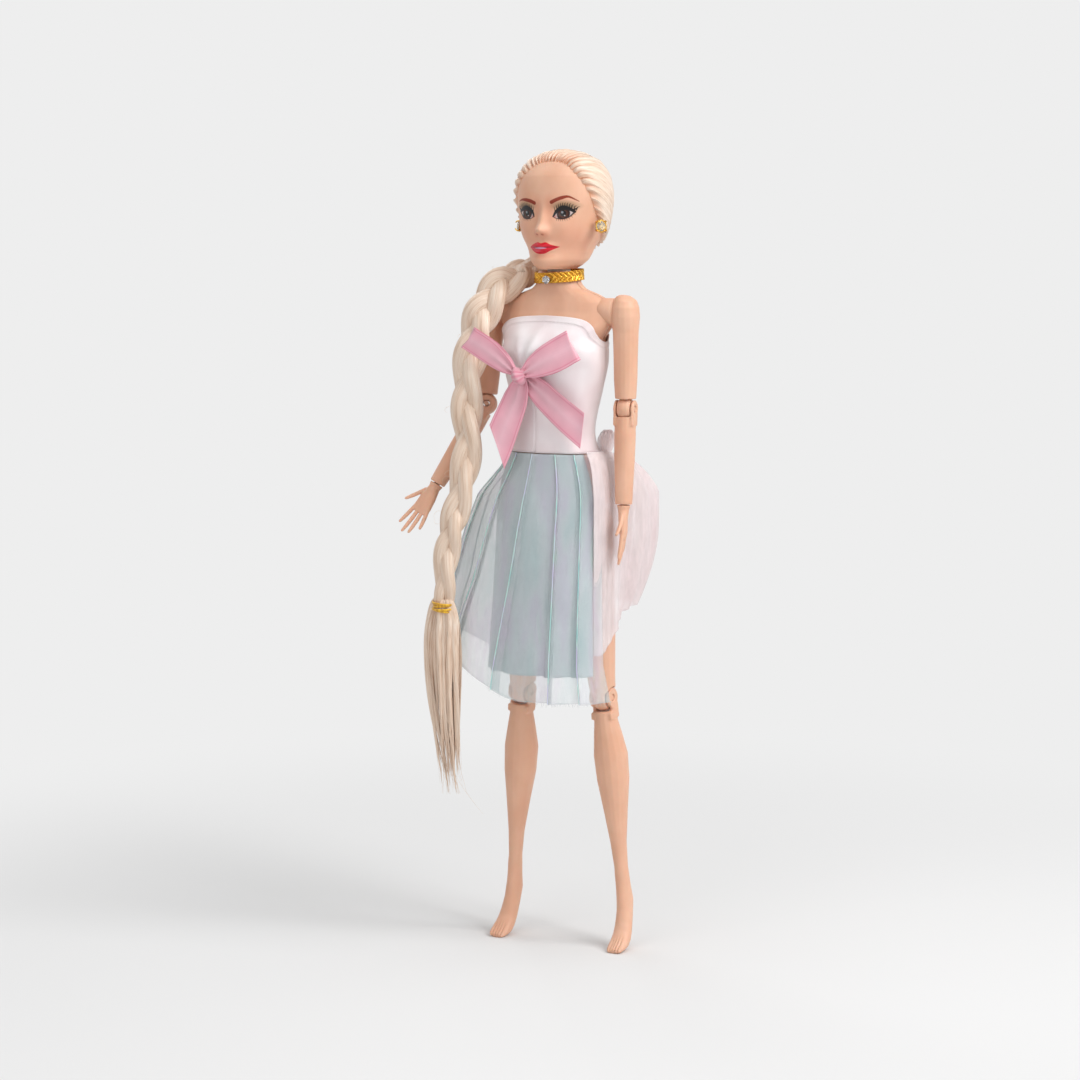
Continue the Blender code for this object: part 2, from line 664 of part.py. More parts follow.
def make_hand(skin):
    """A hand whose palm faces -Y and whose thumb points to +X: a left one. Its peg runs up into the forearm."""
    half, deep = PALM_WIDTH / 2, PALM_THICKNESS / 2
    hand = loft(
        "hand",
        [
            oval(0, 0, -GAP, FOREARM_WIDTH * 0.33, FOREARM_WIDTH * 0.32, FOREARM_WIDTH * 0.32, 12),
            oval(0, 0, -PALM_LENGTH * 0.16, half * 0.62, deep * 1.25, deep * 1.25, 12),
            oval(0, 0, -PALM_LENGTH * 0.45, half * 0.88, deep * 1.1, deep, 12, 0.9),
            oval(0, 0, -PALM_LENGTH * 0.80, half, deep * 0.8, deep * 0.95, 12, 0.85),
            oval(0, 0, -PALM_LENGTH, half * 0.86, deep * 0.55, deep * 0.65, 12, 0.85),
        ],
        skin,
    )
    fuse(hand, rod("peg", (0, 0, -GAP * 2), (0, 0, WRIST_PEG_LENGTH), WRIST_PEG_RADIUS, count=8))
    digits = [(side * PALM_WIDTH, start, lean, size * FINGER_LENGTH, curl) for side, start, lean, size, curl in FINGERS_SHARES]
    digits.append((-PALM_WIDTH * 0.34, 0.42, 34, THUMB_LENGTH, 0.20))
    for x, start, lean, length, curl in digits:
        turn = math.radians(lean)
        along = Vector((-math.sin(turn), 0, -math.cos(turn)))
        root = Vector((x, 0, -PALM_LENGTH * start + FINGER_RADIUS * 2))
        rings = []
        for place, size in ((0, 0.9), (0.45, 1.0), (0.75, 0.92), (0.95, 0.7), (1.0, 0.35)):
            reach = (length + FINGER_RADIUS * 2) * place
            centre = root + along * reach + Vector((0, -curl * length * place**2, 0))
            rings.append(disc_ring(centre, along, FINGER_RADIUS * size, 6, across=(0, 1, 0)))
        fuse(hand, loft("digit", rings))
    mirror(hand)
    return hand


THIGH_SHARES = [
    (0.03, 0.96, 0.96),
    (0.15, 0.97, 1.00),
    (0.32, 0.90, 0.95),
    (0.55, 0.76, 0.82),
    (0.75, 0.62, 0.69),
    (0.88, 0.53, 0.58),
    (0.95, 0.50, 0.53),
    (0.995, 0.48, 0.48),
]
SHIN_SHARES = [
    (0.050, 0.66, 0.72, 0.00),
    (0.085, 0.66, 0.74, 0.01),
    (0.150, 0.82, 0.88, 0.05),
    (0.230, 0.99, 1.03, 0.09),
    (0.330, 0.94, 0.98, 0.08),
    (0.450, 0.70, 0.76, 0.04),
    (0.580, 0.47, 0.53, 0.00),
    (0.680, 0.39, 0.46, 0.00),
    (0.715, 0.42, 0.47, 0.00),
]
# The foot: drop share of the shin, forward share of the foot's width, half width share, half depth share, tilt
FOOT_SHARES = [
    (0.755, -0.02, 0.36, 0.44, 12),
    (0.810, -0.05, 0.37, 0.60, 22),
    (0.868, 0.14, 0.39, 0.54, 38),
    (0.918, 0.42, 0.44, 0.50, 52),
    (0.948, 0.68, 0.48, 0.46, 66),
    (0.964, 0.95, 0.50, 0.42, 78),
    (0.973, 1.25, 0.50, 0.31, 86),
    (0.981, 1.58, 0.46, 0.19, 90),
    (0.985, 1.78, 0.34, 0.10, 90),
]


def make_thigh(skin):
    rings = []
    for drop_share, width, depth in THIGH_SHARES:
        half = THIGH_WIDTH * width / 2
        deep = THIGH_WIDTH * depth / 2
        rings.append(oval(0, 0, -THIGH_LENGTH * drop_share, half, deep, deep, 16))
    thigh = loft("thigh", rings, skin)
    knee = Vector((0, 0, -THIGH_LENGTH))
    fuse(thigh, ball("cap", knee, KNEE_RADIUS, columns=14, rows=10))
    big = THIGH_WIDTH
    cheek = KNEE_TONGUE / 2
    for side in (-1, 1):
        low, high = sorted((side * cheek, side * big))
        room = KNEE_EAR_RADIUS + GAP
        back = block(
            "clearance", (low, -room * 0.42, knee.z - big), (high, big, knee.z + room * 0.75)
        )
        disc = rod("room", (side * cheek, 0, knee.z), (side * big, 0, knee.z), room, count=16)
        fuse(back, disc)
        cut(thigh, back)
    cut(thigh, rod("pin_bore", knee - Vector((big, 0, 0)), knee + Vector((big, 0, 0)), PIN_RADIUS + GAP))
    return thigh


def make_shin(skin):
    rings = []
    for drop_share, width, depth, back in SHIN_SHARES:
        half = CALF_WIDTH * width / 2
        deep = CALF_WIDTH * depth / 2
        rings.append(oval(0, CALF_WIDTH * back, -SHIN_LENGTH * drop_share, half, deep, deep, 16))
    for drop_share, forward, half, deep, tilt in FOOT_SHARES:
        turn = math.radians(tilt)
        centre = Vector((0, -FOOT_WIDTH * forward, -SHIN_LENGTH * drop_share))
        up = Vector((0, -math.sin(turn), -math.cos(turn)))
        across = Vector((0, -math.cos(turn), math.sin(turn)))
        ring = []
        for k in range(16):
            angle = math.tau * k / 16
            ring.append(
                centre
                + Vector((FOOT_WIDTH * half * math.sin(angle), 0, 0))
                + across * (FOOT_WIDTH * deep * math.cos(angle))
            )
        rings.append(ring)
    shin = loft("lower_leg", rings, skin)
    outer = CALF_WIDTH * 0.33
    cut(shin, ball("cup", (0, 0, 0), KNEE_RADIUS + LOOSE_GAP, columns=12, rows=8))
    for ear in make_ears("ear", KNEE_EAR_RADIUS, KNEE_TONGUE, outer, KNEE_RADIUS * 1.6, skin):
        back = -KNEE_EAR_RADIUS * 0.36
        big = CALF_WIDTH
        trim = block("trim", (-big, -big, -big), (big, back, 0))
        disc = rod("keep", (-big, 0, 0), (big, 0, 0), KNEE_EAR_RADIUS, count=16)
        cut(trim, disc)
        cut(trim, block("below", (-big * 2, -big * 2, -big * 2), (big * 2, big * 2, -KNEE_RADIUS - GAP)))
        cut(ear, trim)
        fuse(shin, ear)
    cut(shin, rod("pin_bore", (-KNEE_RADIUS, 0, 0), (KNEE_RADIUS, 0, 0), PIN_RADIUS + GAP))
    return shin


# Bodice
BODICE_BOTTOM = TORSO_BOTTOM + TORSO_HEIGHT * 0.23
BODICE_FRONT = TORSO_BOTTOM + TORSO_HEIGHT * 0.815
CLOTH = 0.6 * MM
TAPE_THICKNESS = 0.5 * MM
# Turn from the front and the share of the front's height that the top edge reaches there
NECKLINE_SHARES = [(0.0, 1.0), (0.10, 0.97), (0.19, 0.86), (0.25, 0.81), (0.32, 0.86), (0.50, 0.90)]


BODICE_LEVEL_SHARES = [0.30, 0.40, 0.49, 0.59, 0.66]


def bodice_heights(turn):
    """The rows of the bodice at a turn: the torso's own levels, then two more up to the top edge."""
    (reach,) = between(NECKLINE_SHARES, turn)
    top = BODICE_BOTTOM + (BODICE_FRONT - BODICE_BOTTOM) * reach
    levels = torso_levels(BODICE_LEVEL_SHARES)
    return [BODICE_BOTTOM] + levels + [(levels[-1] + top) / 2, top]


def make_bodice(satin):
    grids = []
    for grow in (LOOSE_GAP + CLOTH, LOOSE_GAP):
        columns = [bodice_heights(min(k, ROUND - k) / ROUND) for k in range(ROUND)]
        grid = []
        for j in range(len(columns[0])):
            grid.append([torso_ring(columns[k][j], grow, ROUND, SHOULDER_HALF * 2)[k] for k in range(ROUND)])
        grids.append(grid)
    return wall("bodice", grids[0], grids[1], True, satin)


def make_closure(tape):
    """The hook tape down the centre of the back."""
    middle = ROUND // 2
    grids = []
    start = LOOSE_GAP + CLOTH + GAP
    for grow in (start + TAPE_THICKNESS, start):
        grid = []
        for z in bodice_heights(0.5):
            ring = torso_ring(z, grow, ROUND, SHOULDER_HALF * 2)
            sides = [ring[middle + way].lerp(ring[middle], 0.4) for way in (-1, 1)]
            grid.append([sides[0], ring[middle], sides[1]])
        grids.append(grid)
    return wall("bodice_closure", grids[0], grids[1], False, tape)


CHOKER_TILT = 0.5 * MM


def make_choker(gold, metal, stone):
    grids = []
    for grow in (GAP + CHOKER_THICKNESS, GAP):
        grid = []
        for z in (CHOKER_BOTTOM, CHOKER_BOTTOM + CHOKER_HEIGHT):
            ring = torso_ring(z, grow)
            for k, point in enumerate(ring):
                point.z -= CHOKER_TILT * math.cos(math.tau * k / ROUND)
            grid.append(ring)
        grids.append(grid)
    band = wall("choker_band", grids[0], grids[1], True, gold)
    middle = CHOKER_BOTTOM + CHOKER_HEIGHT / 2
    front = torso_ring(middle, GAP + CHOKER_THICKNESS + GAP)[0]
    front.z -= CHOKER_TILT
    ahead = Vector((0, -1, 0))
    setting = turned(
        "choker_setting", front, ahead,
        [(0, PENDANT_RADIUS * 0.8), (PENDANT_DEPTH * 0.5, PENDANT_RADIUS * 0.9), (PENDANT_DEPTH, PENDANT_RADIUS)], metal, 10,
    )
    seat = front + ahead * (PENDANT_DEPTH + GAP)
    gem = turned(
        "choker_stone", seat, ahead,
        [(0, PENDANT_RADIUS * 0.8), (PENDANT_DEPTH * 0.4, PENDANT_RADIUS * 0.85), (PENDANT_DEPTH, PENDANT_RADIUS * 0.45)],
        stone, 8,
    )
    return band, setting, gem


# Bow. Angles are from the doll's left, in degrees, and each ribbon starts at the knot
RIBBON = 0.4 * MM
KNOT_SIDE = 4.8 * MM
KNOT_AHEAD = 19.2 * MM
KNOT_Z = TORSO_BOTTOM + TORSO_HEIGHT * 0.561
KNOT = Vector((-KNOT_SIDE, -KNOT_AHEAD, KNOT_Z))
KNOT_HALF = 2.4 * MM
RIBBON_WIDTH = 10.6 * MM
LOOP_LENGTH = 23.4 * MM
LOOP_PUFF = 1.8 * MM
TAIL_LENGTH = 30 * MM
TAIL_GAP = 0.8 * MM
LOOP_ANGLE = {"left": 29, "right": 144}
LEFT_LOOP_BACK = 3.2 * MM
RIGHT_LOOP_AHEAD = 3.4 * MM
LOOP_BACK = {"left": LEFT_LOOP_BACK, "right": -RIGHT_LOOP_AHEAD}
LOOP_WIDTH_SHARE = {"left": 1.0, "right": 0.84}
TAIL_ANGLE = {"left": -40, "right": -109}
LEFT_TAIL_BACK = 2.4 * MM
RIGHT_TAIL_AHEAD = 4.6 * MM
TAIL_BACK = {"left": LEFT_TAIL_BACK, "right": -RIGHT_TAIL_AHEAD}
TAIL_SKEW_SHARE = {"left": -0.2, "right": 0.4}
TAIL_WIDTH_SHARE = 0.88
LOOP_PINCH_SHARES = [(0, 0.30), (0.2, 0.66), (0.45, 0.90), (0.7, 1.0), (1, 1.0)]
TAIL_PINCH_SHARES = [(0, 0.30), (0.15, 0.70), (0.35, 0.95), (0.7, 1.0), (1, 1.0)]


def ribbon_strip(name, start, angle, length, width, back, puff, skew, pinch, material):
    """A ribbon laid outwards from the knot: a loop if it has a puff, and otherwise a single tail."""
    turn = math.radians(angle)
    along = Vector((math.cos(turn), 0, math.sin(turn)))
    across = Vector((-math.sin(turn), 0, math.cos(turn)))
    front, rear = [], []
    steps = 7
    for j in range(steps):
        place = j / (steps - 1)
        (wide,) = between(pinch, place)
        centre = start + along * length * place + Vector((0, back * place**2, 0))
        thick = Vector((0, -(RIBBON + puff * math.sin(math.pi * place)) / 2, 0))
        row = [centre + across * width / 2 * wide * s + along * length * skew * s * place**2 for s in (-1, 0, 1)]
        front.append([point + thick for point in row])
        rear.append([point - thick for point in row])
    return wall(name, front, rear, False, material)


def make_bow(pink):
    pieces = [ball("bow_knot", KNOT, KNOT_HALF, pink, 12, 8)]
    for side in ("left", "right"):
        turn = math.radians(LOOP_ANGLE[side])
        start = KNOT + Vector((math.cos(turn), 0, math.sin(turn))) * (KNOT_HALF + GAP)
        width = RIBBON_WIDTH * LOOP_WIDTH_SHARE[side]
        length = LOOP_LENGTH - KNOT_HALF
        pieces.append(ribbon_strip(
            f"bow_{side}_loop", start, LOOP_ANGLE[side], length, width, LOOP_BACK[side], LOOP_PUFF, 0,
            LOOP_PINCH_SHARES, pink,
        ))
        behind = KNOT_HALF + GAP + RIBBON / 2 + (TAIL_GAP if side == "left" else 0)
        pieces.append(ribbon_strip(
            f"bow_{side}_tail", KNOT + Vector((0, behind, 0)), TAIL_ANGLE[side], TAIL_LENGTH,
            RIBBON_WIDTH * TAIL_WIDTH_SHARE, TAIL_BACK[side], 0, TAIL_SKEW_SHARE[side], TAIL_PINCH_SHARES, pink,
        ))
    return pieces


# Skirts. The lining and the sheer overlay wrap round the front and the right; the train covers the left and the back
SKIRT_TOP = BODICE_BOTTOM - GAP
SKIRT_HALF = 25 * MM
SKIRT_DEPTH = 22 * MM
SKIRT_LENGTH = 88 * MM
SKIRT_CLOTH = 0.5 * MM
LAYER_GAP = 0.4 * MM
LINING_SHARE = 0.895
PLEAT_DEPTH = 1.0 * MM
PLEATS = 14
FLARE = 24 * MM
LEFT_FLARE = 3 * MM
RISE_SHARE = 0.25
# Drop share, half width share, front depth share, back depth share
SKIRT_SHARES = [
    (0.00, 0.672, 0.550, 0.390),
    (0.045, 0.735, 0.562, 0.458),
    (0.09, 0.796, 0.576, 0.540),
    (0.135, 0.845, 0.590, 0.606),
    (0.19, 0.880, 0.622, 0.634),
    (0.30, 0.900, 0.686, 0.686),
    (0.48, 0.915, 0.765, 0.740),
    (0.70, 0.945, 0.866, 0.802),
    (0.90, 0.980, 0.955, 0.852),
    (1.00, 1.000, 1.000, 0.880),
]
# How far the sheer layer stands out at the doll's right, by drop share
FLARE_SHARES = [(0, 0), (0.045, 0.02), (0.09, 0.09), (0.19, 0.33), (0.36, 0.56), (0.53, 0.73), (0.65, 0.90), (0.75, 1), (1, 1.1)]
LINING_TURNS = (-0.47, 0.160)
SKIRT_ROW_SHARES = [0, 0.05, 0.10, 0.155, 0.22, 0.33, 0.47, 0.62, 0.81, 1]
OVERLAY_TURNS = (-0.42, 0.172)
FLARE_TURN = -0.14
FLARE_SEAM_SHARE = 0.004


def skirt_point(turn, drop_share, grow):
    """A place on the skirt. Its pleats grow from nothing at the waist to their full depth at the hem."""
    wide, front, back = between(SKIRT_SHARES, drop_share)
    side, ahead = math.sin(math.tau * turn), math.cos(math.tau * turn)
    side = math.copysign(abs(side) ** 0.92, side)
    ahead = math.copysign(abs(ahead) ** 0.92, ahead)
    pleat = PLEAT_DEPTH * drop_share * (1 + math.cos(math.tau * turn * PLEATS)) / 2
    x = (wide * SKIRT_HALF + grow + pleat) * side
    y = -((front if ahead > 0 else back) * SKIRT_DEPTH + grow + pleat) * ahead
    return Vector((x, y, SKIRT_TOP - drop_share * SKIRT_LENGTH))


def make_lining(satin):
    columns = 28
    first, last = LINING_TURNS
    grids = []
    for grow in (SKIRT_CLOTH, 0):
        grid = []
        for row_share in SKIRT_ROW_SHARES:
            share = LINING_SHARE * row_share
            grid.append([skirt_point(first + (last - first) * k / (columns - 1), share, grow) for k in range(columns)])
        grids.append(grid)
    return wall("skirt_lining", grids[0], grids[1], False, satin)


def make_overlay(sheer):
    """The sheer layer over the lining: a flared cut at the right, whose hem rises, and a pleated cut over the front."""
    start = SKIRT_CLOTH + LAYER_GAP
    seam = FLARE_SEAM_SHARE / 2
    cuts = []
    for name, first, last, columns in (
        ("skirt_flare", OVERLAY_TURNS[0], FLARE_TURN - seam, 16),
        ("skirt_overlay", FLARE_TURN + seam, OVERLAY_TURNS[1], 16),
    ):
        grids = []
        for grow in (start + SKIRT_CLOTH, start):
            grid = []
            for row_share in SKIRT_ROW_SHARES:
                row = []
                for k in range(columns):
                    turn = first + (last - first) * k / (columns - 1)
                    right = max(0.0, -math.sin(math.tau * turn)) ** 2
                    left = max(0.0, math.sin(math.tau * turn)) ** 2
                    share = row_share * (1 - RISE_SHARE * right)
                    point = skirt_point(turn, share, grow)
                    (out,) = between(FLARE_SHARES, share)
                    point.x += LEFT_FLARE * left * max(0.0, share - 0.85) / 0.15 - FLARE * out * right
                    row.append(point)
                grid.append(row)
            grids.append(grid)
        cuts.append(wall(name, grids[0], grids[1], False, sheer))
    return cuts


TRAIN_TOP = SKIRT_TOP - 1.3 * MM
TRAIN_REACH = 34 * MM
TRAIN_LENGTH = 57 * MM
TRAIN_FOLD = 1.0 * MM
TRAIN_OFFSET = (SKIRT_CLOTH + LAYER_GAP) * 2 + 0.4 * MM
# Turn, then the side and back shares of the reach at the fullest height, then the share of the length that hangs there
TRAIN_PLAN_SHARES = [
    (0.175, 0.662, -0.247, 1.27),
    (0.205, 0.665, -0.132, 1.23),
    (0.235, 0.661, -0.015, 1.19),
    (0.265, 0.662, 0.115, 1.14),
    (0.295, 0.705, 0.235, 1.09),
    (0.325, 0.800, 0.340, 1.04),
    (0.355, 0.850, 0.490, 1.01),
    (0.385, 0.850, 0.640, 1.00),
    (0.415, 0.775, 0.785, 1.00),
    (0.445, 0.645, 0.885, 1.00),
    (0.475, 0.470, 0.950, 1.00),
    (0.505, 0.280, 0.970, 1.00),
    (0.535, 0.090, 0.970, 1.00),
    (0.565, -0.100, 0.940, 1.00),
    (0.595, -0.280, 0.870, 1.00),
    (0.625, -0.425, 0.820, 1.00),
]
# Drop share, how full the train is there, and how far its back part is gathered in again
TRAIN_FULL_SHARES = [
    (0.00, 0.03, 1.00),
    (0.06, 0.50, 1.00),
    (0.13, 0.74, 1.00),
    (0.20, 0.88, 1.00),
    (0.29, 1.00, 1.00),
    (0.55, 1.00, 1.00),
    (0.75, 1.00, 0.95),
    (0.92, 1.00, 0.86),
    (1.10, 1.00, 0.74),
    (1.30, 1.00, 0.70),
]
EAR_HEIGHT = 8.6 * MM
EAR_WIDTH = 5.6 * MM
EAR_TURN = 0.33


def train_waist(turn):
    place = skirt_point(turn, 0, TRAIN_OFFSET)
    return Vector((place.x, place.y, 0))


def make_train(organza):
    columns, rows = 25, 12
    first, last = TRAIN_PLAN_SHARES[0][0], TRAIN_PLAN_SHARES[-1][0]
    lines = []
    for j in range(rows):
        line = []
        for k in range(columns):
            turn = first + (last - first) * k / (columns - 1)
            side, back, hang_share = between(TRAIN_PLAN_SHARES, turn)
            share = hang_share * j / (rows - 1)
            full, gather = between(TRAIN_FULL_SHARES, share)
            loose = min(1.0, max(0.0, (turn - 0.27) / 0.06))
            gather = 1 - (1 - gather) * loose
            fold = 1 + loose * full * TRAIN_FOLD / TRAIN_REACH * math.cos(math.pi * k)
            wide = Vector((side, back, 0)) * TRAIN_REACH * gather * fold
            place = train_waist(turn).lerp(wide, full)
            line.append(place + Vector((0, 0, TRAIN_TOP - TRAIN_LENGTH * share)))
        lines.append(line)
    grids = []
    for way in (0.5, -0.5):
        grid = []
        for line in lines:
            row = []
            for k, place in enumerate(line):
                run = line[min(k + 1, columns - 1)] - line[max(k - 1, 0)]
                out = Vector((run.y, -run.x, 0)).normalized()
                row.append(place + out * SKIRT_CLOTH * way)
            grid.append(row)
        grids.append(grid)
    train = wall("back_train", grids[0], grids[1], False, organza)
    turn = math.tau * EAR_TURN
    foot = train_waist(EAR_TURN) + Vector((0, 0, TRAIN_TOP + GAP + SKIRT_CLOTH))
    out = Vector((math.sin(turn), -math.cos(turn), 0))
    across = Vector((out.y, -out.x, 0))
    front, rear = [], []
    for place, wide, lean in ((0, 0.55, 0), (0.3, 0.9, 0.03), (0.65, 1.0, 0.09), (0.9, 0.75, 0.12), (1, 0.45, 0.13)):
        centre = foot + Vector((0, 0, EAR_HEIGHT * place)) + out * EAR_HEIGHT * lean
        bow = out * EAR_WIDTH * 0.12
        line = [centre + across * EAR_WIDTH / 2 * wide * s + bow * (1 - s * s) for s in (-1, 0, 1)]
        front.append([point + out * SKIRT_CLOTH for point in line])
        rear.append(line)
    return train, wall("train_ear", front, rear, False, organza)


# Hair. The gather's heights are counted from the head's bottom. The braid runs over the right shoulder and down the
# front of the right arm, and its heights are shares of the way from its tied end up to the head's bottom
GATHER_ROUTE = [(1.5, 24.0, 11.2), (-4, 23.4, 8.2), (-9.5, 20.5, 4.7), (-14, 15.0, 1.5), (-15.8, 10, -0.3)]
BRAID_END_Z = 125 * MM
BRAID_ROUTE_SHARES = [
    (-16.2, 8.8, 0.9935), (-17.2, 2, 0.978), (-20.6, -7.5, 0.936), (-24.2, -13.4, 0.850), (-26.6, -15.6, 0.744),
    (-28.0, -16.0, 0.630), (-26.8, -17.2, 0.515), (-27.6, -18.8, 0.401), (-30.2, -20.5, 0.286), (-33.2, -21.5, 0.172),
    (-34.6, -22.0, 0.0),
]
TUFT_ROUTE = [(-34.8, -22.0, 124.4), (-35.4, -22.0, 112), (-34.6, -21.8, 92), (-33.2, -21.2, 72), (-31.6, -20.6, 56.5)]
BRAID_HALF = 7 * MM
BRAID_DEPTH = 4.6 * MM
GATHER_HALF = 4 * MM
TIE_RADIUS = 4.3 * MM
TIE_HEIGHT = 3 * MM
TIE_THICKNESS = 0.8 * MM
TUFT_HALF = 6.4 * MM
TUFT_DEPTH = 3 * MM
PLAITS = 7


def hair_loft(name, route, sizes, count, columns, hair):
    """A lock of hair: an oval section carried along a smooth route. Sizes gives half width and depth at a share."""
    places = smooth_route(route, count)
    rings = []
    for i, place in enumerate(places):
        ahead = places[min(i + 1, count - 1)] - places[max(i - 1, 0)]
        half, deep = sizes(i / (count - 1))
        across = Vector((0, -1, 0)) if abs(ahead.normalized().y) < 0.8 else Vector((0, 0, 1))
        rings.append(disc_ring(place, ahead, half, columns, deep / half, across))
    return loft(name, rings, hair)


def braid_size(share):
    """Three strands cross in turn, so the plait swells and narrows, and it tapers to the tie."""
    taper = min(1.0, 1.12 - 0.42 * share) * (1 if share < 0.94 else 1 - (share - 0.94) * 7)
    lobe = 0.90 + 0.10 * math.cos(math.tau * PLAITS * 2 * share)
    start = min(1.0, 0.72 + share * 4)
    return BRAID_HALF * taper * lobe * start, BRAID_DEPTH * taper * start


def gather_size(share):
    return GATHER_HALF * (0.45 + 0.7 * min(1.0, share * 2)), GATHER_HALF * (0.25 + 0.75 * min(1.0, share * 2))


def tuft_size(share):
    swell = 0.55 + 0.75 * share if share < 0.6 else 1.0 - 0.55 * ((share - 0.6) / 0.4) ** 2
    return TUFT_HALF * min(swell, 1.0), TUFT_DEPTH * min(swell, 1.0)


def make_braid(hair, gold):
    gather_route = [Vector(point) * MM + Vector((0, 0, HEAD_BOTTOM)) for point in GATHER_ROUTE]
    fall = HEAD_BOTTOM - BRAID_END_Z
    braid_route = [Vector((x * MM, y * MM, BRAID_END_Z + rise * fall)) for x, y, rise in BRAID_ROUTE_SHARES]
    gather = hair_loft("hair_gather", gather_route, gather_size, 6, 10, hair)
    braid = hair_loft("braid", braid_route, braid_size, 44, 12, hair)
    tuft = hair_loft("hair_tuft", [Vector(point) * MM for point in TUFT_ROUTE], tuft_size, 12, 12, hair)
    tie_at = braid_route[-1]
    grids = []
    for radius in (TIE_RADIUS, TIE_RADIUS - TIE_THICKNESS):
        grid = []
        for share, bulge in ((0, -0.3), (0.5, 0), (1, -0.3)):
            centre = tie_at + Vector((0, 0, TIE_HEIGHT * (share - 0.1)))
            grown = radius + (bulge * TIE_THICKNESS if radius == TIE_RADIUS else 0)
            grid.append(disc_ring(centre, (0, 0, 1), grown, 16, 0.88, (0, -1, 0)))
        grids.append(grid)
    tie = wall("hair_tie", grids[0], grids[1], True, gold)
    return gather, braid, tie, tuft


def joint(name, parent, location, rotation=(0, 0, 0)):
    empty = bpy.data.objects.new(name, None)
    bpy.context.scene.collection.objects.link(empty)
    empty.empty_display_size = 5 * MM
    empty.parent = parent
    empty.location = location
    empty.rotation_euler = rotation
    return empty


def hang(obj, name, parent, side=1):
    if side < 0:
        mirror(obj)
    obj.name = name
    obj.data.name = name
    obj.parent = parent
    return obj


def build_arm(side_name, root, skin, steel):
    side = 1 if side_name == "left" else -1
    shoulder = joint(
        f"{side_name}_shoulder_joint", root, (side * SHOULDER_HALF, SHOULDER_Y, SHOULDER_Z), (-SWING[side_name], 0, 0)
    )
    hang(make_shoulder_peg(steel), f"{side_name}_shoulder_peg", shoulder, side)
    hang(make_upper_arm(skin), f"{side_name}_upper_arm", shoulder, side)
    elbow = joint(
        f"{side_name}_elbow_joint", shoulder, (side * arm_x(), 0, -UPPER_ARM_LENGTH), (0, 0, ELBOW_TWIST[side_name])
    )
    hang(make_elbow_link(skin), f"{side_name}_elbow_link", elbow, side)
    outer = FOREARM_WIDTH * 0.46
    hang(make_pin("pin", outer, steel), f"{side_name}_elbow_pin", elbow, side)
    bend = joint(f"{side_name}_elbow_bend_joint", elbow, (0, 0, 0), (-ELBOW_BEND[side_name], 0, 0))
    hang(make_forearm(skin), f"{side_name}_forearm", bend, side)
    wrist = joint(f"{side_name}_wrist_joint", bend, (0, 0, -FOREARM_LENGTH), (0, 0, WRIST_TWIST[side_name]))
    hang(make_hand(skin), f"{side_name}_hand", wrist, side)


def build_leg(side_name, root, skin, steel):
    side = 1 if side_name == "left" else -1
    hip = joint(f"{side_name}_hip_joint", root, (side * HIP_HALF, HIP_Y, HIP_Z))
    limb = joint(f"{side_name}_leg_line", hip, (0, 0, 0), (LEG_LEAN, -side * SPLAY, 0))
    thigh = hang(make_thigh(skin), f"{side_name}_thigh", limb, side)
    shin_joint = joint(f"{side_name}_knee_joint", limb, (0, 0, -THIGH_LENGTH))
    hang(make_pin("pin", KNEE_TONGUE * 0.78, steel), f"{side_name}_knee_pin", shin_joint, side)
    shin = hang(make_shin(skin), f"{side_name}_lower_leg", shin_joint, side)
    bpy.context.view_layer.update()
    # The round head of the hip and the flat sole are cut in the doll's own upright frame
    settle(thigh)
    settle(shin)
    centre = Vector((side * HIP_HALF, HIP_Y, HIP_Z))
    inner = side * (CROTCH_HALF + GAP)
    fuse(thigh, ball("hip_head", centre, HIP_RADIUS, columns=16, rows=10))
    big = HIP_RADIUS * 3
    low, high = sorted((inner, inner - side * big))
    cut(thigh, block("inner_face", (low, -big, HIP_Z - big * 3), (high, big, HIP_Z + big)))
    bore_end = inner + side * (HIP_PEG_RADIUS * 2 + GAP)
    start = Vector((inner - side * OVERRUN, HIP_Y, HIP_Z))
    cut(thigh, rod("axle_bore", start, (bore_end, HIP_Y, HIP_Z), HIP_PEG_RADIUS + GAP))
    cut(shin, block("floor", (-big * 3, -big * 3, -big), (big * 3, big * 3, 0)))
    for obj in (thigh, shin):
        obj.parent = hip
        obj.matrix_parent_inverse = hip.matrix_world.inverted()


def settle(obj):
    """Moves an object's place from its parents into its mesh."""
    matrix = obj.matrix_world.copy()
    obj.parent = None
    obj.data.transform(matrix)
    obj.matrix_world = Matrix.Identity(4)


def make_hip_axle(steel):
    """One axle that both thighs turn on, through the bore in the crotch."""
    reach = CROTCH_HALF + GAP + HIP_PEG_RADIUS * 2 - GAP
    return rod("hip_axle", (-reach, HIP_Y, HIP_Z), (reach, HIP_Y, HIP_Z), HIP_PEG_RADIUS, steel)


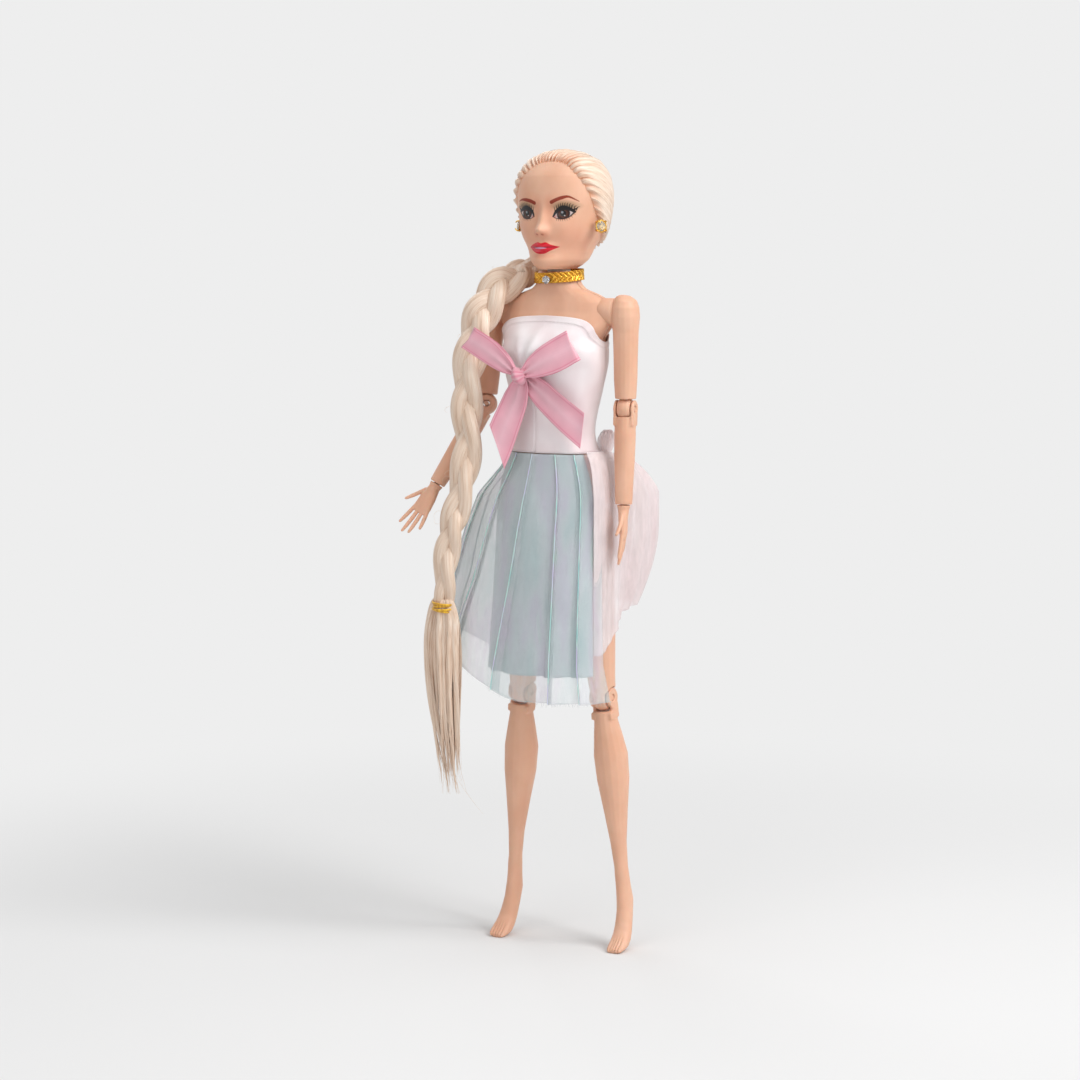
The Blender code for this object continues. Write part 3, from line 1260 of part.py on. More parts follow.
def main():
    clear_scene()
    skin = make_material("skin_plastic", (0.79, 0.52, 0.39), 0.45)
    white = make_material("white_plastic", (0.82, 0.80, 0.76), 0.5)
    steel = make_material("pin_steel", (0.6, 0.6, 0.6), 0.3, 1.0)
    hair = make_material("platinum_hair", (0.84, 0.71, 0.58), 0.4)
    satin = make_material("white_satin", (0.90, 0.84, 0.84), 0.35)
    blue = make_material("blue_satin", (0.48, 0.58, 0.62), 0.35)
    sheer = make_material("sheer_film", (0.66, 0.74, 0.78), 0.25)
    organza = make_material("pink_organza", (0.86, 0.74, 0.77), 0.5)
    pink = make_material("pink_ribbon", (0.88, 0.42, 0.52), 0.4)
    gold = make_material("gold_lame", (0.75, 0.50, 0.14), 0.35, 1.0)
    stone = make_material("clear_stone", (0.9, 0.92, 0.95), 0.05)
    root = joint("doll", None, (0, 0, 0))
    front, back = make_torso(skin)
    pieces = [front, back, make_neck(white), make_hip_axle(steel)]
    pieces += make_choker(gold, gold, stone)
    pieces += [make_bodice(satin), make_closure(satin)]
    pieces += make_bow(pink)
    pieces += [make_lining(blue), *make_overlay(sheer)]
    pieces += make_train(organza)
    gather, braid, tie, tuft = make_braid(hair, gold)
    pieces += [braid, tie, tuft]
    for obj in pieces:
        hang(obj, obj.name, root)
    neck = joint("neck_joint", root, (0, NECK_Y, HEAD_BOTTOM))
    head_pieces = [make_head(skin), make_hair_cap(hair), gather]
    for side_name, side in (("left", 1), ("right", -1)):
        claw, gem = make_earring(side, gold, stone)
        claw.name, gem.name = f"{side_name}_earring_mount", f"{side_name}_earring_stone"
        head_pieces += [claw, gem]
    for obj in head_pieces:
        hang(obj, obj.name, neck)
        obj.location = -neck.location
    for side_name in ("left", "right"):
        build_arm(side_name, root, skin, steel)
        build_leg(side_name, root, skin, steel)
    stand_on_floor(root)


def stand_on_floor(root):
    """Moves the doll so that its box's bottom centre is at the origin."""
    bpy.context.view_layer.update()
    places = [obj.matrix_world @ v.co for obj in bpy.data.objects if obj.type == "MESH" for v in obj.data.vertices]
    low = [min(place[i] for place in places) for i in range(3)]
    high = [max(place[i] for place in places) for i in range(3)]
    root.location = (-(low[0] + high[0]) / 2, -(low[1] + high[1]) / 2, -low[2])


main()
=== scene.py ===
# %% [markdown]
# # A jointed fashion doll in a satin top and a sheer skirt
# The doll stands 290 mm tall on tiptoe feet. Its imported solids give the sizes, and this file gives the looks: a
# painted vinyl face, combed and plaited hair, satin, organza and ribbon. Everything is in metres, with +Z up. The
# doll faces -Y, and +X is to its own left. Each step below first says what the real piece is.

# %% The frame
import math
import random

import bpy
import numpy as np
from mathutils import Matrix, Vector
from mathutils.bvhtree import BVHTree


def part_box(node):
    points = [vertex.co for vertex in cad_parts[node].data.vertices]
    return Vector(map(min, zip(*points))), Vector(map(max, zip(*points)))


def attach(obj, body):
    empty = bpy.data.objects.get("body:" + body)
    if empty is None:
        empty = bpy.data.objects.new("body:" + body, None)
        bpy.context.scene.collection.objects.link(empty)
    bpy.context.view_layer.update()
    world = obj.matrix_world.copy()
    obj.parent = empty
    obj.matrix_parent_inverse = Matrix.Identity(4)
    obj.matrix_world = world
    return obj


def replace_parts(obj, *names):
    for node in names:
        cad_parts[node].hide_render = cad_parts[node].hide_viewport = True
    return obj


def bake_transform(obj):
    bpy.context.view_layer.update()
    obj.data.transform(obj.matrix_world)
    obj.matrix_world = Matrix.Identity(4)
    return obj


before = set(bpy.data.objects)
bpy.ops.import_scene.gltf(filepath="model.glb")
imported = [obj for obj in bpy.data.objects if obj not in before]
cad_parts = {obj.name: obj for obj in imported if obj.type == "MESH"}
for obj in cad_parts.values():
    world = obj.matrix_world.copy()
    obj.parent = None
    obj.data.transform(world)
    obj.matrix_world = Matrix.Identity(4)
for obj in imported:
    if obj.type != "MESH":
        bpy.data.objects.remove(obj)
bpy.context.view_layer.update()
MM = 0.001
NECK_Y = 2 * MM
# Each side of the doll, with the sign of X there
SIDES = (("left", 1), ("right", -1))
knob_low, knob_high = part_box("neck_knob")
knob_middle = (knob_low + knob_high) / 2
PLACE = Vector((knob_middle.x, knob_middle.y - NECK_Y, 0))
print("doll's own origin lies at", [round(value / MM, 2) for value in PLACE], "mm")

# %% [markdown]
# ## Small helpers
# Every piece starts as a primitive. A sheet, a skin or a lock of hair is a grid primitive whose points are carried
# to their places by a formula, which keeps its UV map: U runs across it and V along it.

# %% Helpers for meshes
WELD = 0.005 * MM


def only(obj):
    """Makes one object the selected and active one."""
    bpy.ops.object.select_all(action="DESELECT")
    obj.select_set(True)
    bpy.context.view_layer.objects.active = obj
    return obj


def in_edit_mode(obj, *steps):
    """Runs edit-mode steps on the whole mesh."""
    only(obj)
    bpy.ops.object.mode_set(mode="EDIT")
    bpy.ops.mesh.select_mode(type="VERT")
    bpy.ops.mesh.select_all(action="SELECT")
    for step in steps:
        step()
    bpy.ops.object.mode_set(mode="OBJECT")
    return obj


def merge_doubles():
    bpy.ops.mesh.remove_doubles(threshold=WELD)


def turn_faces_out():
    bpy.ops.mesh.normals_make_consistent(inside=False)


def formed_grid(name, columns, rows, place):
    """A grid primitive carried to its places: place(u, v) takes shares across and along."""
    bpy.ops.object.select_all(action="DESELECT")
    bpy.ops.mesh.primitive_grid_add(x_subdivisions=columns, y_subdivisions=rows, size=2)
    obj = bpy.context.active_object
    obj.name = obj.data.name = name
    for vertex in obj.data.vertices:
        vertex.co = place((vertex.co.x + 1) / 2, (1 - vertex.co.y) / 2)
    return in_edit_mode(obj, merge_doubles, turn_faces_out)


def apply_modifiers(obj):
    only(obj)
    for modifier in list(obj.modifiers):
        bpy.ops.object.modifier_apply(modifier=modifier.name)
    return obj


def thicken(obj, thickness, offset=0.0):
    """Gives a sheet its thickness. Offset 0 keeps the sheet in the middle and 1 grows it outwards."""
    modifier = obj.modifiers.new("thickness", "SOLIDIFY")
    modifier.thickness = thickness
    modifier.offset = offset
    modifier.use_even_offset = False
    return apply_modifiers(obj)


def finish_piece(obj, finish, body, smooth=180):
    """Shades a piece, gives it its finish and says which body carries it. Edges over smooth degrees stay sharp."""
    only(obj)
    bpy.ops.object.shade_smooth_by_angle(angle=math.radians(smooth))
    obj.data.materials.clear()
    obj.data.materials.append(finish)
    if body:
        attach(obj, body)
    print(obj.name, len(obj.data.polygons), "faces")
    return obj


def join(name, pieces):
    """Joins pieces into one object under a new name."""
    bpy.ops.object.select_all(action="DESELECT")
    for piece in pieces:
        piece.select_set(True)
    bpy.context.view_layer.objects.active = pieces[0]
    bpy.ops.object.join()
    pieces[0].name = pieces[0].data.name = name
    return pieces[0]


def between(rows, place):
    """The row of a table at a place, where each row starts with its own place and the values run smoothly."""
    place = min(max(place, rows[0][0]), rows[-1][0])
    k = next(i for i in range(len(rows) - 1) if place <= rows[i + 1][0])
    a, b = rows[k], rows[k + 1]
    before, after = rows[max(k - 1, 0)], rows[min(k + 2, len(rows) - 1)]
    t = (place - a[0]) / (b[0] - a[0])
    values = []
    for p, q, r, s in zip(before, a, b, after):
        start, end = (r - p) / 2, (s - q) / 2
        curve = (2 * t**3 - 3 * t**2 + 1) * q + (t**3 - 2 * t**2 + t) * start
        values.append(curve + (-2 * t**3 + 3 * t**2) * r + (t**3 - t**2) * end)
    return values[1:]


def along_route(points, share):
    """A place on a smooth curve through a list of points."""
    rows = [(i, *point) for i, point in enumerate(points)]
    return Vector(between(rows, share * (len(points) - 1)))


def across_route(ahead, steep=0.9):
    """A direction across a route that points to the front, or upwards where the route itself runs to the front."""
    front = Vector((0, -1, 0)) if abs(ahead.y) < steep else Vector((0, 0, 1))
    return (front - ahead * front.dot(ahead)).normalized()


def frames_along(places, steep=0.9):
    """Each place of a route with the two directions across it."""
    last = len(places) - 1
    frames = []
    for i, place in enumerate(places):
        ahead = (places[min(i + 1, last)] - places[max(i - 1, 0)]).normalized()
        second = across_route(ahead, steep)
        frames.append((place, ahead.cross(second), second))
    return frames


def tube(name, places, radius, sides=6, profile=None):
    """A round cord along places in metres. Profile gives a share of the radius at a share of the length."""
    rows = len(places) - 1
    frames = frames_along(places, 0.8)

    def spot(u, v):
        place, first, second = frames[round(v * rows)]
        size = radius * (profile(v) if profile else 1)
        return place + size * (first * math.cos(math.tau * u) + second * math.sin(math.tau * u))

    return formed_grid(name, sides, rows, spot)


def edit_faces(obj, wanted):
    """Selects the faces that a rule wants, and leaves the mesh in edit mode."""
    only(obj)
    bpy.ops.object.mode_set(mode="EDIT")
    bpy.ops.mesh.select_mode(type="FACE")
    bpy.ops.mesh.select_all(action="DESELECT")
    bpy.ops.object.mode_set(mode="OBJECT")
    for face in obj.data.polygons:
        face.select = wanted(face)
    bpy.ops.object.mode_set(mode="EDIT")


def close_ends():
    """Fills the open loops of the mesh that is being edited, such as a tube's two ends."""
    bpy.ops.mesh.select_mode(type="EDGE")
    bpy.ops.mesh.select_all(action="DESELECT")
    bpy.ops.mesh.select_non_manifold()
    bpy.ops.mesh.edge_face_add()
    bpy.ops.mesh.select_all(action="SELECT")


def squared_off(value, power=0.92):
    """A sine or cosine raised to a power below 1, which makes the oval that it draws a little squarer."""
    return math.copysign(abs(value) ** power, value)


def crowded(u, amount):
    """The turn of a grid's column, with more columns towards the front. The first and the last meet at the back."""
    turn = u - 0.5
    return turn - amount * math.sin(math.tau * turn) / math.tau


def mark_points(obj, name, values):
    """Gives every point of a mesh a value that its finish can read."""
    attribute = obj.data.attributes.new(name, "FLOAT", "POINT")
    attribute.data.foreach_set("value", values.astype(np.float32))


# %% [markdown]
# ## Finishes
# A finish is a Principled shader fed by a few texture nodes. Colours are written as they look, from 0 to 255, and
# turned into the linear values that Blender works with. Threads and hairs follow the UV map, and moulded plastic
# reads Object coordinates.

# %% Helpers for finishes
def tone(red, green, blue):
    """A colour given as 0 to 255, as linear values."""
    shares = [value / 255 for value in (red, green, blue)]
    return tuple(s / 12.92 if s <= 0.04045 else ((s + 0.055) / 1.055) ** 2.4 for s in shares)


def node(tree, kind, settings=None, **inputs):
    """Adds a shader node. An input takes a plain value or another node's output, and spaces are written as _."""
    made = tree.nodes.new("ShaderNode" + kind)
    for key, value in (settings or {}).items():
        setattr(made, key, value)
    for key, value in inputs.items():
        socket = made.inputs[key.replace("_", " ")]
        if isinstance(value, bpy.types.NodeSocket):
            tree.links.new(value, socket)
        else:
            socket.default_value = value
    return made


def new_finish(name, roughness, **constants):
    """A material with one Principled shader. The constants go straight to its sockets."""
    made = bpy.data.materials.new(name)
    made.use_nodes = True
    shader = made.node_tree.nodes["Principled BSDF"]
    shader.inputs["Roughness"].default_value = roughness
    for key, value in constants.items():
        shader.inputs[key.replace("_", " ")].default_value = value
    return made, made.node_tree, shader


def scaled(tree, source, scale):
    """Texture coordinates, stretched by three factors."""
    coordinates = node(tree, "TexCoord").outputs[source]
    return node(tree, "Mapping", Vector=coordinates, Scale=scale).outputs["Vector"]


def noise(tree, source, scale, detail=2.0):
    """Noise from 0 to 1 over Object or UV coordinates that are stretched by three factors."""
    return node(tree, "TexNoise", Vector=scaled(tree, source, scale), Scale=1.0, Detail=detail).outputs["Fac"]


def ramp(tree, value, stops):
    """A colour ramp: stops is a list of (place, colour)."""
    made = node(tree, "ValToRGB", Fac=value)
    elements = made.color_ramp.elements
    while len(elements) < len(stops):
        elements.new(1.0)
    for element, (place, colour) in zip(elements, stops):
        element.position = place
        element.color = (*colour, 1)
    return made.outputs["Color"]


def bumped(tree, shader, height, distance, strength=1.0):
    made = node(tree, "Bump", Height=height, Distance=distance, Strength=strength)
    tree.links.new(made.outputs["Normal"], shader.inputs["Normal"])


def arithmetic(tree, operation, first, second):
    made = tree.nodes.new("ShaderNodeMath")
    made.operation = operation
    for socket, value in zip(made.inputs, (first, second)):
        if isinstance(value, bpy.types.NodeSocket):
            tree.links.new(value, socket)
        else:
            socket.default_value = value
    return made.outputs[0]


def connect(tree, output, shader, name):
    tree.links.new(output, shader.inputs[name])


def mottled(tree, shader, scale, stops, detail=2.0):
    """Lets the colour drift between stops with noise in Object coordinates. Gives the noise back for a bump."""
    drift = noise(tree, "Object", scale, detail)
    connect(tree, ramp(tree, drift, stops), shader, "Base Color")
    return drift


def mottled_finish(name, roughness, scale, stops, detail=2.0, bump=None, **constants):
    """A finish whose colour drifts. Bump is the depth and the strength of the same noise as relief."""
    made, tree, shader = new_finish(name, roughness, **constants)
    drift = mottled(tree, shader, scale, stops, detail)
    if bump:
        bumped(tree, shader, drift, *bump)
    return made


# %% [markdown]
# ### Moulded skin
# The body is hard plastic and the head is soft vinyl, both moulded in a peach colour. Light sinks in a little, so a
# weak subsurface share softens the shadows, and a very fine bump takes the computer shine off the surface.

# %% Skin
SKIN_LIGHT = tone(231, 184, 156)
SKIN_DARK = tone(222, 170, 141)
LIGHT_SINKS_IN = 2 * MM
MOULD_GRAIN = 0.02 * MM


def skin_colour(tree):
    cloudy = noise(tree, "Object", (90, 90, 60), 4.0)
    return ramp(tree, cloudy, [(0.35, SKIN_DARK), (0.7, SKIN_LIGHT)])


def skin_finish(name):
    made, tree, shader = new_finish(name, 0.45, Subsurface_Weight=0.12, Subsurface_Scale=LIGHT_SINKS_IN, IOR=1.42)
    connect(tree, skin_colour(tree), shader, "Base Color")
    smears = noise(tree, "Object", (240, 240, 160), 3.0)
    connect(tree, node(tree, "MapRange", Value=smears, To_Min=0.40, To_Max=0.52).outputs[0], shader, "Roughness")
    bumped(tree, shader, noise(tree, "Object", (2600, 2600, 2600)), MOULD_GRAIN, 0.5)
    return made


def painted_finish(name):
    """Skin under printed paint: the paint attribute holds the colour, and its alpha says how much paint lies there."""
    made, tree, shader = new_finish(name, 0.45, Subsurface_Weight=0.10, Subsurface_Scale=LIGHT_SINKS_IN, IOR=1.42)
    paint = node(tree, "Attribute", {"attribute_name": "paint"})
    mixed = node(tree, "MixRGB", Fac=paint.outputs["Alpha"], Color1=skin_colour(tree), Color2=paint.outputs["Color"])
    connect(tree, mixed.outputs["Color"], shader, "Base Color")
    gloss = node(tree, "Attribute", {"attribute_name": "gloss"}).outputs["Fac"]
    connect(tree, node(tree, "MapRange", Value=gloss, To_Min=0.46, To_Max=0.14).outputs[0], shader, "Roughness")
    bumped(tree, shader, noise(tree, "Object", (2600, 2600, 2600)), MOULD_GRAIN, 0.4)
    return made


skin = skin_finish("moulded_skin")
painted_skin = painted_finish("painted_vinyl")

# %% [markdown]
# ### Hair
# The hair is pale nylon fibre. The UV map of every lock runs across and along it, so noise that is stretched along
# V draws single fibres, in the colour and in the bump, and a wide soft highlight comes from a low roughness. Between
# the tufts at the hairline the scalp shows through and the grooves lie in shade, so the cap is painted warmer there,
# partly in the scalp's colour and partly as painted shade.

# %% Hair finish
HAIR_STOPS = [(0.30, tone(196, 158, 128)), (0.47, tone(230, 204, 182)), (0.68, tone(246, 230, 214))]
# Warm colour at the roots: partly the scalp showing through, partly painted shade in the grooves between tufts
SCALP_AND_PAINTED_SHADE = tone(214, 146, 108)
FIBRE_RELIEF = 0.16 * MM


def hair_finish(name, across, along, roots=False):
    """Fibres for a lock. Across and along say how often the noise repeats over the UV map."""
    made, tree, shader = new_finish(name, 0.34, Specular_IOR_Level=0.55, Anisotropic=0.35, IOR=1.5)
    fibres = noise(tree, "UV", (across, along, 1), 3.0)
    bundles = noise(tree, "UV", (across / 9, along / 2, 1))
    streaks = node(tree, "MixRGB", Fac=0.45, Color1=fibres, Color2=bundles).outputs["Color"]
    colour = ramp(tree, streaks, HAIR_STOPS)
    # Between the tufts at the roots the cap turns warmer: partly the scalp showing through, partly painted shade
    if roots:
        depth = node(tree, "Attribute", {"attribute_name": "roots"}).outputs["Fac"]
        amount = arithmetic(tree, "MULTIPLY", depth, 0.85)
        colour = node(tree, "MixRGB", Fac=amount, Color1=colour, Color2=(*SCALP_AND_PAINTED_SHADE, 1)).outputs["Color"]
    connect(tree, colour, shader, "Base Color")
    bumped(tree, shader, fibres, FIBRE_RELIEF, 0.75)
    return made


cap_hair = hair_finish("combed_hair", 620, 7, True)
lock_hair = hair_finish("plaited_hair", 90, 16)
fine_hair = hair_finish("loose_hair", 12, 8)

# %% [markdown]
# ### Cloth
# The top is white satin, the underskirt pale blue-grey satin. Satin has a fine weave, a soft sheen along its creases
# and slow changes of brightness. The overskirt is a sheer film woven with a fine grid that shimmers mint and lilac,
# and the train is pale pink organza. Both let the light through between their threads.

# %% Cloth finishes
SATIN_WEAVE = 0.03 * MM
SHEER_WEAVE = 0.04 * MM
PIPING_TWIST = 0.10 * MM
RIBBON_RIBS = 0.06 * MM


def weave(tree, across, along):
    """The relief of a plain weave on the UV map."""
    vector = scaled(tree, "UV", (across, along, 1))
    waves = []
    for direction in ("X", "Y"):
        waves.append(node(tree, "TexWave", {"bands_direction": direction}, Vector=vector, Scale=1.0).outputs["Fac"])
    return arithmetic(tree, "MULTIPLY", waves[0], waves[1])


def satin_finish(name, dark, light, across, along, roughness=0.36):
    made, tree, shader = new_finish(name, roughness, Sheen_Weight=0.25, Sheen_Roughness=0.4, Anisotropic=0.3)
    mottled(tree, shader, (70, 70, 45), [(0.32, dark), (0.68, light)])
    bumped(tree, shader, weave(tree, across, along), SATIN_WEAVE, 0.5)
    return made


def sheer_finish(name, stops, across, along, thin, dense, roughness=0.3):
    """Cloth that is partly open: its alpha runs from thin between the threads to dense on them."""
    made, tree, shader = new_finish(name, roughness, Sheen_Weight=0.35, Sheen_Roughness=0.3, Specular_IOR_Level=0.6)
    mottled(tree, shader, (160, 160, 28), stops)
    threads = weave(tree, across, along)
    sparkle = noise(tree, "Object", (700, 700, 160))
    mixed = node(tree, "MixRGB", Fac=0.45, Color1=threads, Color2=sparkle).outputs["Color"]
    alpha = node(tree, "MapRange", Value=mixed, From_Min=0.1, From_Max=0.75, To_Min=thin, To_Max=dense).outputs[0]
    connect(tree, alpha, shader, "Alpha")
    bumped(tree, shader, threads, SHEER_WEAVE, 0.5)
    return made


MINT = tone(216, 234, 228)
AQUA = tone(206, 224, 226)
LILAC = tone(228, 221, 236)
white_satin = satin_finish("white_satin", tone(232, 216, 218), tone(248, 243, 244), 900, 420)
blue_satin = satin_finish("blue_satin", tone(172, 186, 189), tone(198, 211, 213), 900, 600, 0.42)
sheer_film = sheer_finish("sheer_film", [(0.3, AQUA), (0.5, tone(226, 232, 236)), (0.62, LILAC), (0.75, MINT)],
                          420, 260, 0.16, 0.46)
pink_organza = sheer_finish("pink_organza", [(0.3, tone(248, 232, 233)), (0.7, tone(252, 243, 244))],
                            300, 160, 0.40, 0.74, 0.5)
sheer_hem = sheer_finish("clear_hem", [(0.3, tone(226, 238, 238)), (0.7, tone(240, 236, 244))], 420, 260, 0.25, 0.7)


def piping_finish(name):
    """Metallic thread that changes from aqua to mint and lilac along its length."""
    made, tree, shader = new_finish(name, 0.28, Metallic=0.25, Sheen_Weight=0.4, Specular_IOR_Level=0.7)
    stops = [(0.32, tone(150, 206, 205)), (0.5, tone(196, 228, 220)), (0.66, tone(206, 198, 228))]
    mottled(tree, shader, (420, 420, 70), stops)
    twist = noise(tree, "Object", (900, 900, 2400), 1.0)
    bumped(tree, shader, twist, PIPING_TWIST, 0.8)
    return made


piping = piping_finish("iridescent_piping")


def ribbon_finish(name):
    """Pink ribbon: satin along both edges, thinner ribbed organza between them. U runs across the ribbon."""
    made, tree, shader = new_finish(name, 0.42, Sheen_Weight=0.3, Sheen_Roughness=0.4)
    across = node(tree, "SeparateXYZ", Vector=scaled(tree, "UV", (1, 1, 1))).outputs["X"]
    pale, mid, deep = tone(250, 196, 208), tone(247, 176, 192), tone(238, 140, 164)
    stops = [(0.0, deep), (0.045, pale), (0.075, deep), (0.115, mid), (0.5, pale), (0.885, mid), (0.925, deep),
             (0.955, pale), (1.0, deep)]
    bands = ramp(tree, across, stops)
    cloudy = noise(tree, "Object", (150, 150, 150))
    faded = node(tree, "MixRGB", {"blend_type": "MULTIPLY"}, Fac=0.25, Color1=bands, Color2=cloudy).outputs["Color"]
    connect(tree, faded, shader, "Base Color")
    ribs = node(tree, "TexWave", {"bands_direction": "Y"}, Vector=scaled(tree, "UV", (1, 34, 1)), Scale=1.0)
    edge = ramp(tree, across, [(0.0, (1, 1, 1)), (0.10, (0, 0, 0)), (0.90, (0, 0, 0)), (1.0, (1, 1, 1))])
    bumped(tree, shader, arithmetic(tree, "ADD", ribs.outputs["Fac"], edge), RIBBON_RIBS, 0.6)
    return made


pink_ribbon = ribbon_finish("pink_ribbon")

# %% [markdown]
# ### Metal, stones and small plastic
# The choker is woven gold thread, the earrings and the pendant are cast metal with glass stones, and the axle inside
# the hips is steel. The knob in the neck is ivory plastic, and the tie on the plait is a yellow elastic.

# %% Metal, stone and elastic finishes
METAL_WEAR = 0.05 * MM
ELASTIC_GRAIN = 0.20 * MM


def metal_finish(name, dark, light, roughness, grain):
    return mottled_finish(name, roughness, (grain, grain, grain), [(0.35, dark), (0.65, light)], 3.0,
                          (METAL_WEAR, 0.4), Metallic=1.0)


gold_thread = metal_finish("gold_thread", tone(168, 104, 22), tone(244, 196, 84), 0.34, 2600)
gilt = metal_finish("gilt_metal", tone(190, 130, 40), tone(250, 212, 120), 0.22, 1500)
silver = metal_finish("silver_metal", tone(150, 148, 146), tone(214, 212, 210), 0.25, 1500)
steel = metal_finish("pin_steel", tone(140, 140, 142), tone(188, 188, 190), 0.3, 900)
stone = mottled_finish("clear_stone", 0.03, (700, 700, 700), [(0.3, tone(208, 214, 224)), (0.7, tone(250, 252, 255))],
                       1.0, Transmission_Weight=0.75, IOR=1.7)
elastic = mottled_finish("tie_elastic", 0.5, (1400, 1400, 500),
                         [(0.35, tone(196, 138, 16)), (0.65, tone(240, 192, 44))], 2.0, (ELASTIC_GRAIN, 0.8),
                         Sheen_Weight=0.3)
ivory = mottled_finish("white_plastic", 0.5, (300, 300, 300), [(0.3, tone(226, 222, 214)), (0.7, tone(238, 235, 228))])
tape = satin_finish("hook_tape", tone(236, 230, 230), tone(248, 246, 246), 500, 900, 0.7)
print(len(bpy.data.materials), "finishes")

# %% [markdown]
# ## Camera, floor and light
# The camera stands 28 degrees to the doll's left of straight ahead, a metre away and as high as the doll's face, with
# a long lens. The floor is matt and pale. Away from the doll it fades into the colour of the backdrop, so no horizon
# shows. The main light is a large soft lamp at the doll's left. A weak lamp in front fills the shadows, one above
# lights the hair and one behind draws the edges.

# %% Camera
CAMERA_AZIMUTH = math.radians(28)
CAMERA_DISTANCE = 1.0
CAMERA_HEIGHT = 0.27
CAMERA_PITCH = math.radians(6.86)
FOCAL_PIXELS = 2787
PICTURE_SIDE = 1080
SENSOR_WIDTH = 36
DOLL_AXIS_PIXEL = 556.5

bpy.ops.object.select_all(action="DESELECT")
stand = Vector((math.sin(CAMERA_AZIMUTH), -math.cos(CAMERA_AZIMUTH), 0)) * CAMERA_DISTANCE
camera_place = PLACE + stand + Vector((0, 0, CAMERA_HEIGHT))
bpy.ops.object.camera_add(location=camera_place, rotation=(math.pi / 2 - CAMERA_PITCH, 0, CAMERA_AZIMUTH))
camera = bpy.context.active_object
camera.data.lens = SENSOR_WIDTH * FOCAL_PIXELS / PICTURE_SIDE
camera.data.sensor_width = SENSOR_WIDTH
camera.data.shift_x = (PICTURE_SIDE / 2 - DOLL_AXIS_PIXEL) / PICTURE_SIDE
camera.data.clip_start = 0.01
bpy.context.scene.camera = camera
print("lens", round(camera.data.lens, 1), "mm, shift", round(camera.data.shift_x, 4))

# %% Floor, backdrop and lamps
BACKDROP = tone(238, 238, 238)
FLOOR_SIDE = 6.0
CLEAR_RADIUS = 0.42
FULL_RADIUS = 0.14
AMBIENT = 0.35
CHEST_HEIGHT = 0.17


def seen_directly(tree):
    """1 for rays from the camera, a mirror or through glass, and 0 for rays that light the doll."""
    path = node(tree, "LightPath").outputs
    seen = arithmetic(tree, "MAXIMUM", path["Is Camera Ray"], path["Is Glossy Ray"])
    return arithmetic(tree, "MAXIMUM", seen, path["Is Transmission Ray"])


bpy.ops.mesh.primitive_plane_add(size=FLOOR_SIDE)
floor = bpy.context.active_object
floor.name = floor.data.name = "studio_floor"
floor_finish, floor_tree, floor_shader = new_finish("pale_floor", 0.9, Specular_IOR_Level=0.1)
floor_shader.inputs["Base Color"].default_value = (*tone(228, 228, 228), 1)
glow = node(floor_tree, "Emission", Color=(*BACKDROP, 1), Strength=1.0)
centred = node(floor_tree, "Mapping", Vector=node(floor_tree, "TexCoord").outputs["Object"],
               Location=(-PLACE.x, -PLACE.y, 0)).outputs["Vector"]
reach = node(floor_tree, "VectorMath", {"operation": "LENGTH"})
floor_tree.links.new(centred, reach.inputs[0])
fade = node(floor_tree, "MapRange", {"interpolation_type": "SMOOTHSTEP"}, Value=reach.outputs["Value"],
            From_Min=FULL_RADIUS, From_Max=CLEAR_RADIUS).outputs[0]
share = arithmetic(floor_tree, "MULTIPLY", fade, seen_directly(floor_tree))
mixed = node(floor_tree, "MixShader", Fac=share)
floor_tree.links.new(floor_shader.outputs[0], mixed.inputs[1])
floor_tree.links.new(glow.outputs[0], mixed.inputs[2])
floor_tree.links.new(mixed.outputs[0], floor_tree.nodes["Material Output"].inputs["Surface"])
floor.data.materials.append(floor_finish)

world = bpy.data.worlds.new("studio")
bpy.context.scene.world = world
world.use_nodes = True
sky = world.node_tree.nodes["Background"]
sky.inputs["Color"].default_value = (1, 1, 1, 1)
seen = seen_directly(world.node_tree)
level = node(world.node_tree, "MapRange", Value=seen, To_Min=AMBIENT, To_Max=BACKDROP[0]).outputs[0]
world.node_tree.links.new(level, sky.inputs["Strength"])


def lamp(name, azimuth, elevation, distance, size, watts):
    """A soft square lamp that faces the doll's chest. Azimuth counts from straight ahead towards its left."""
    target = PLACE + Vector((0, 0, CHEST_HEIGHT))
    turn, rise = math.radians(azimuth), math.radians(elevation)
    away = Vector((math.sin(turn) * math.cos(rise), -math.cos(turn) * math.cos(rise), math.sin(rise)))
    bpy.ops.object.light_add(type="AREA", location=target + away * distance)
    made = bpy.context.active_object
    made.name = name
    made.rotation_euler = away.to_track_quat("Z", "Y").to_euler()
    made.data.size = size
    made.data.energy = watts
    return made


# Name, azimuth and elevation in degrees, distance and side in metres, and power in watts
LAMPS = [("key_lamp", 86, 38, 1.3, 0.8, 13.0), ("fill_lamp", -8, 24, 1.3, 0.9, 2.8),
         ("top_lamp", 28, 82, 1.2, 1.0, 4.6), ("back_lamp", 235, 35, 1.4, 0.8, 3.0)]
for settings in LAMPS:
    lamp(*settings)
bpy.context.scene.view_settings.view_transform = "Standard"

# %% [markdown]
# ## Body
# The limbs and the torso are hard plastic mouldings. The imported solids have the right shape, but they are faceted,
# so each is copied, its loose triangles are welded, and a Remesh gives an even skin that a Smooth modifier can round
# without touching the outline. The copy then stands for the solid.

# %% Plastic mouldings
# How finely each moulding is sampled in mm, and how many times it is smoothed
MOULDINGS = {"torso_front": (0.45, 5), "torso_back": (0.45, 5), "upper_arm": (0.32, 10), "forearm": (0.32, 10),
             "hand": (0.22, 5), "thigh": (0.32, 10), "elbow_link": (0.20, 12), "lower_leg": (0.30, 10)}


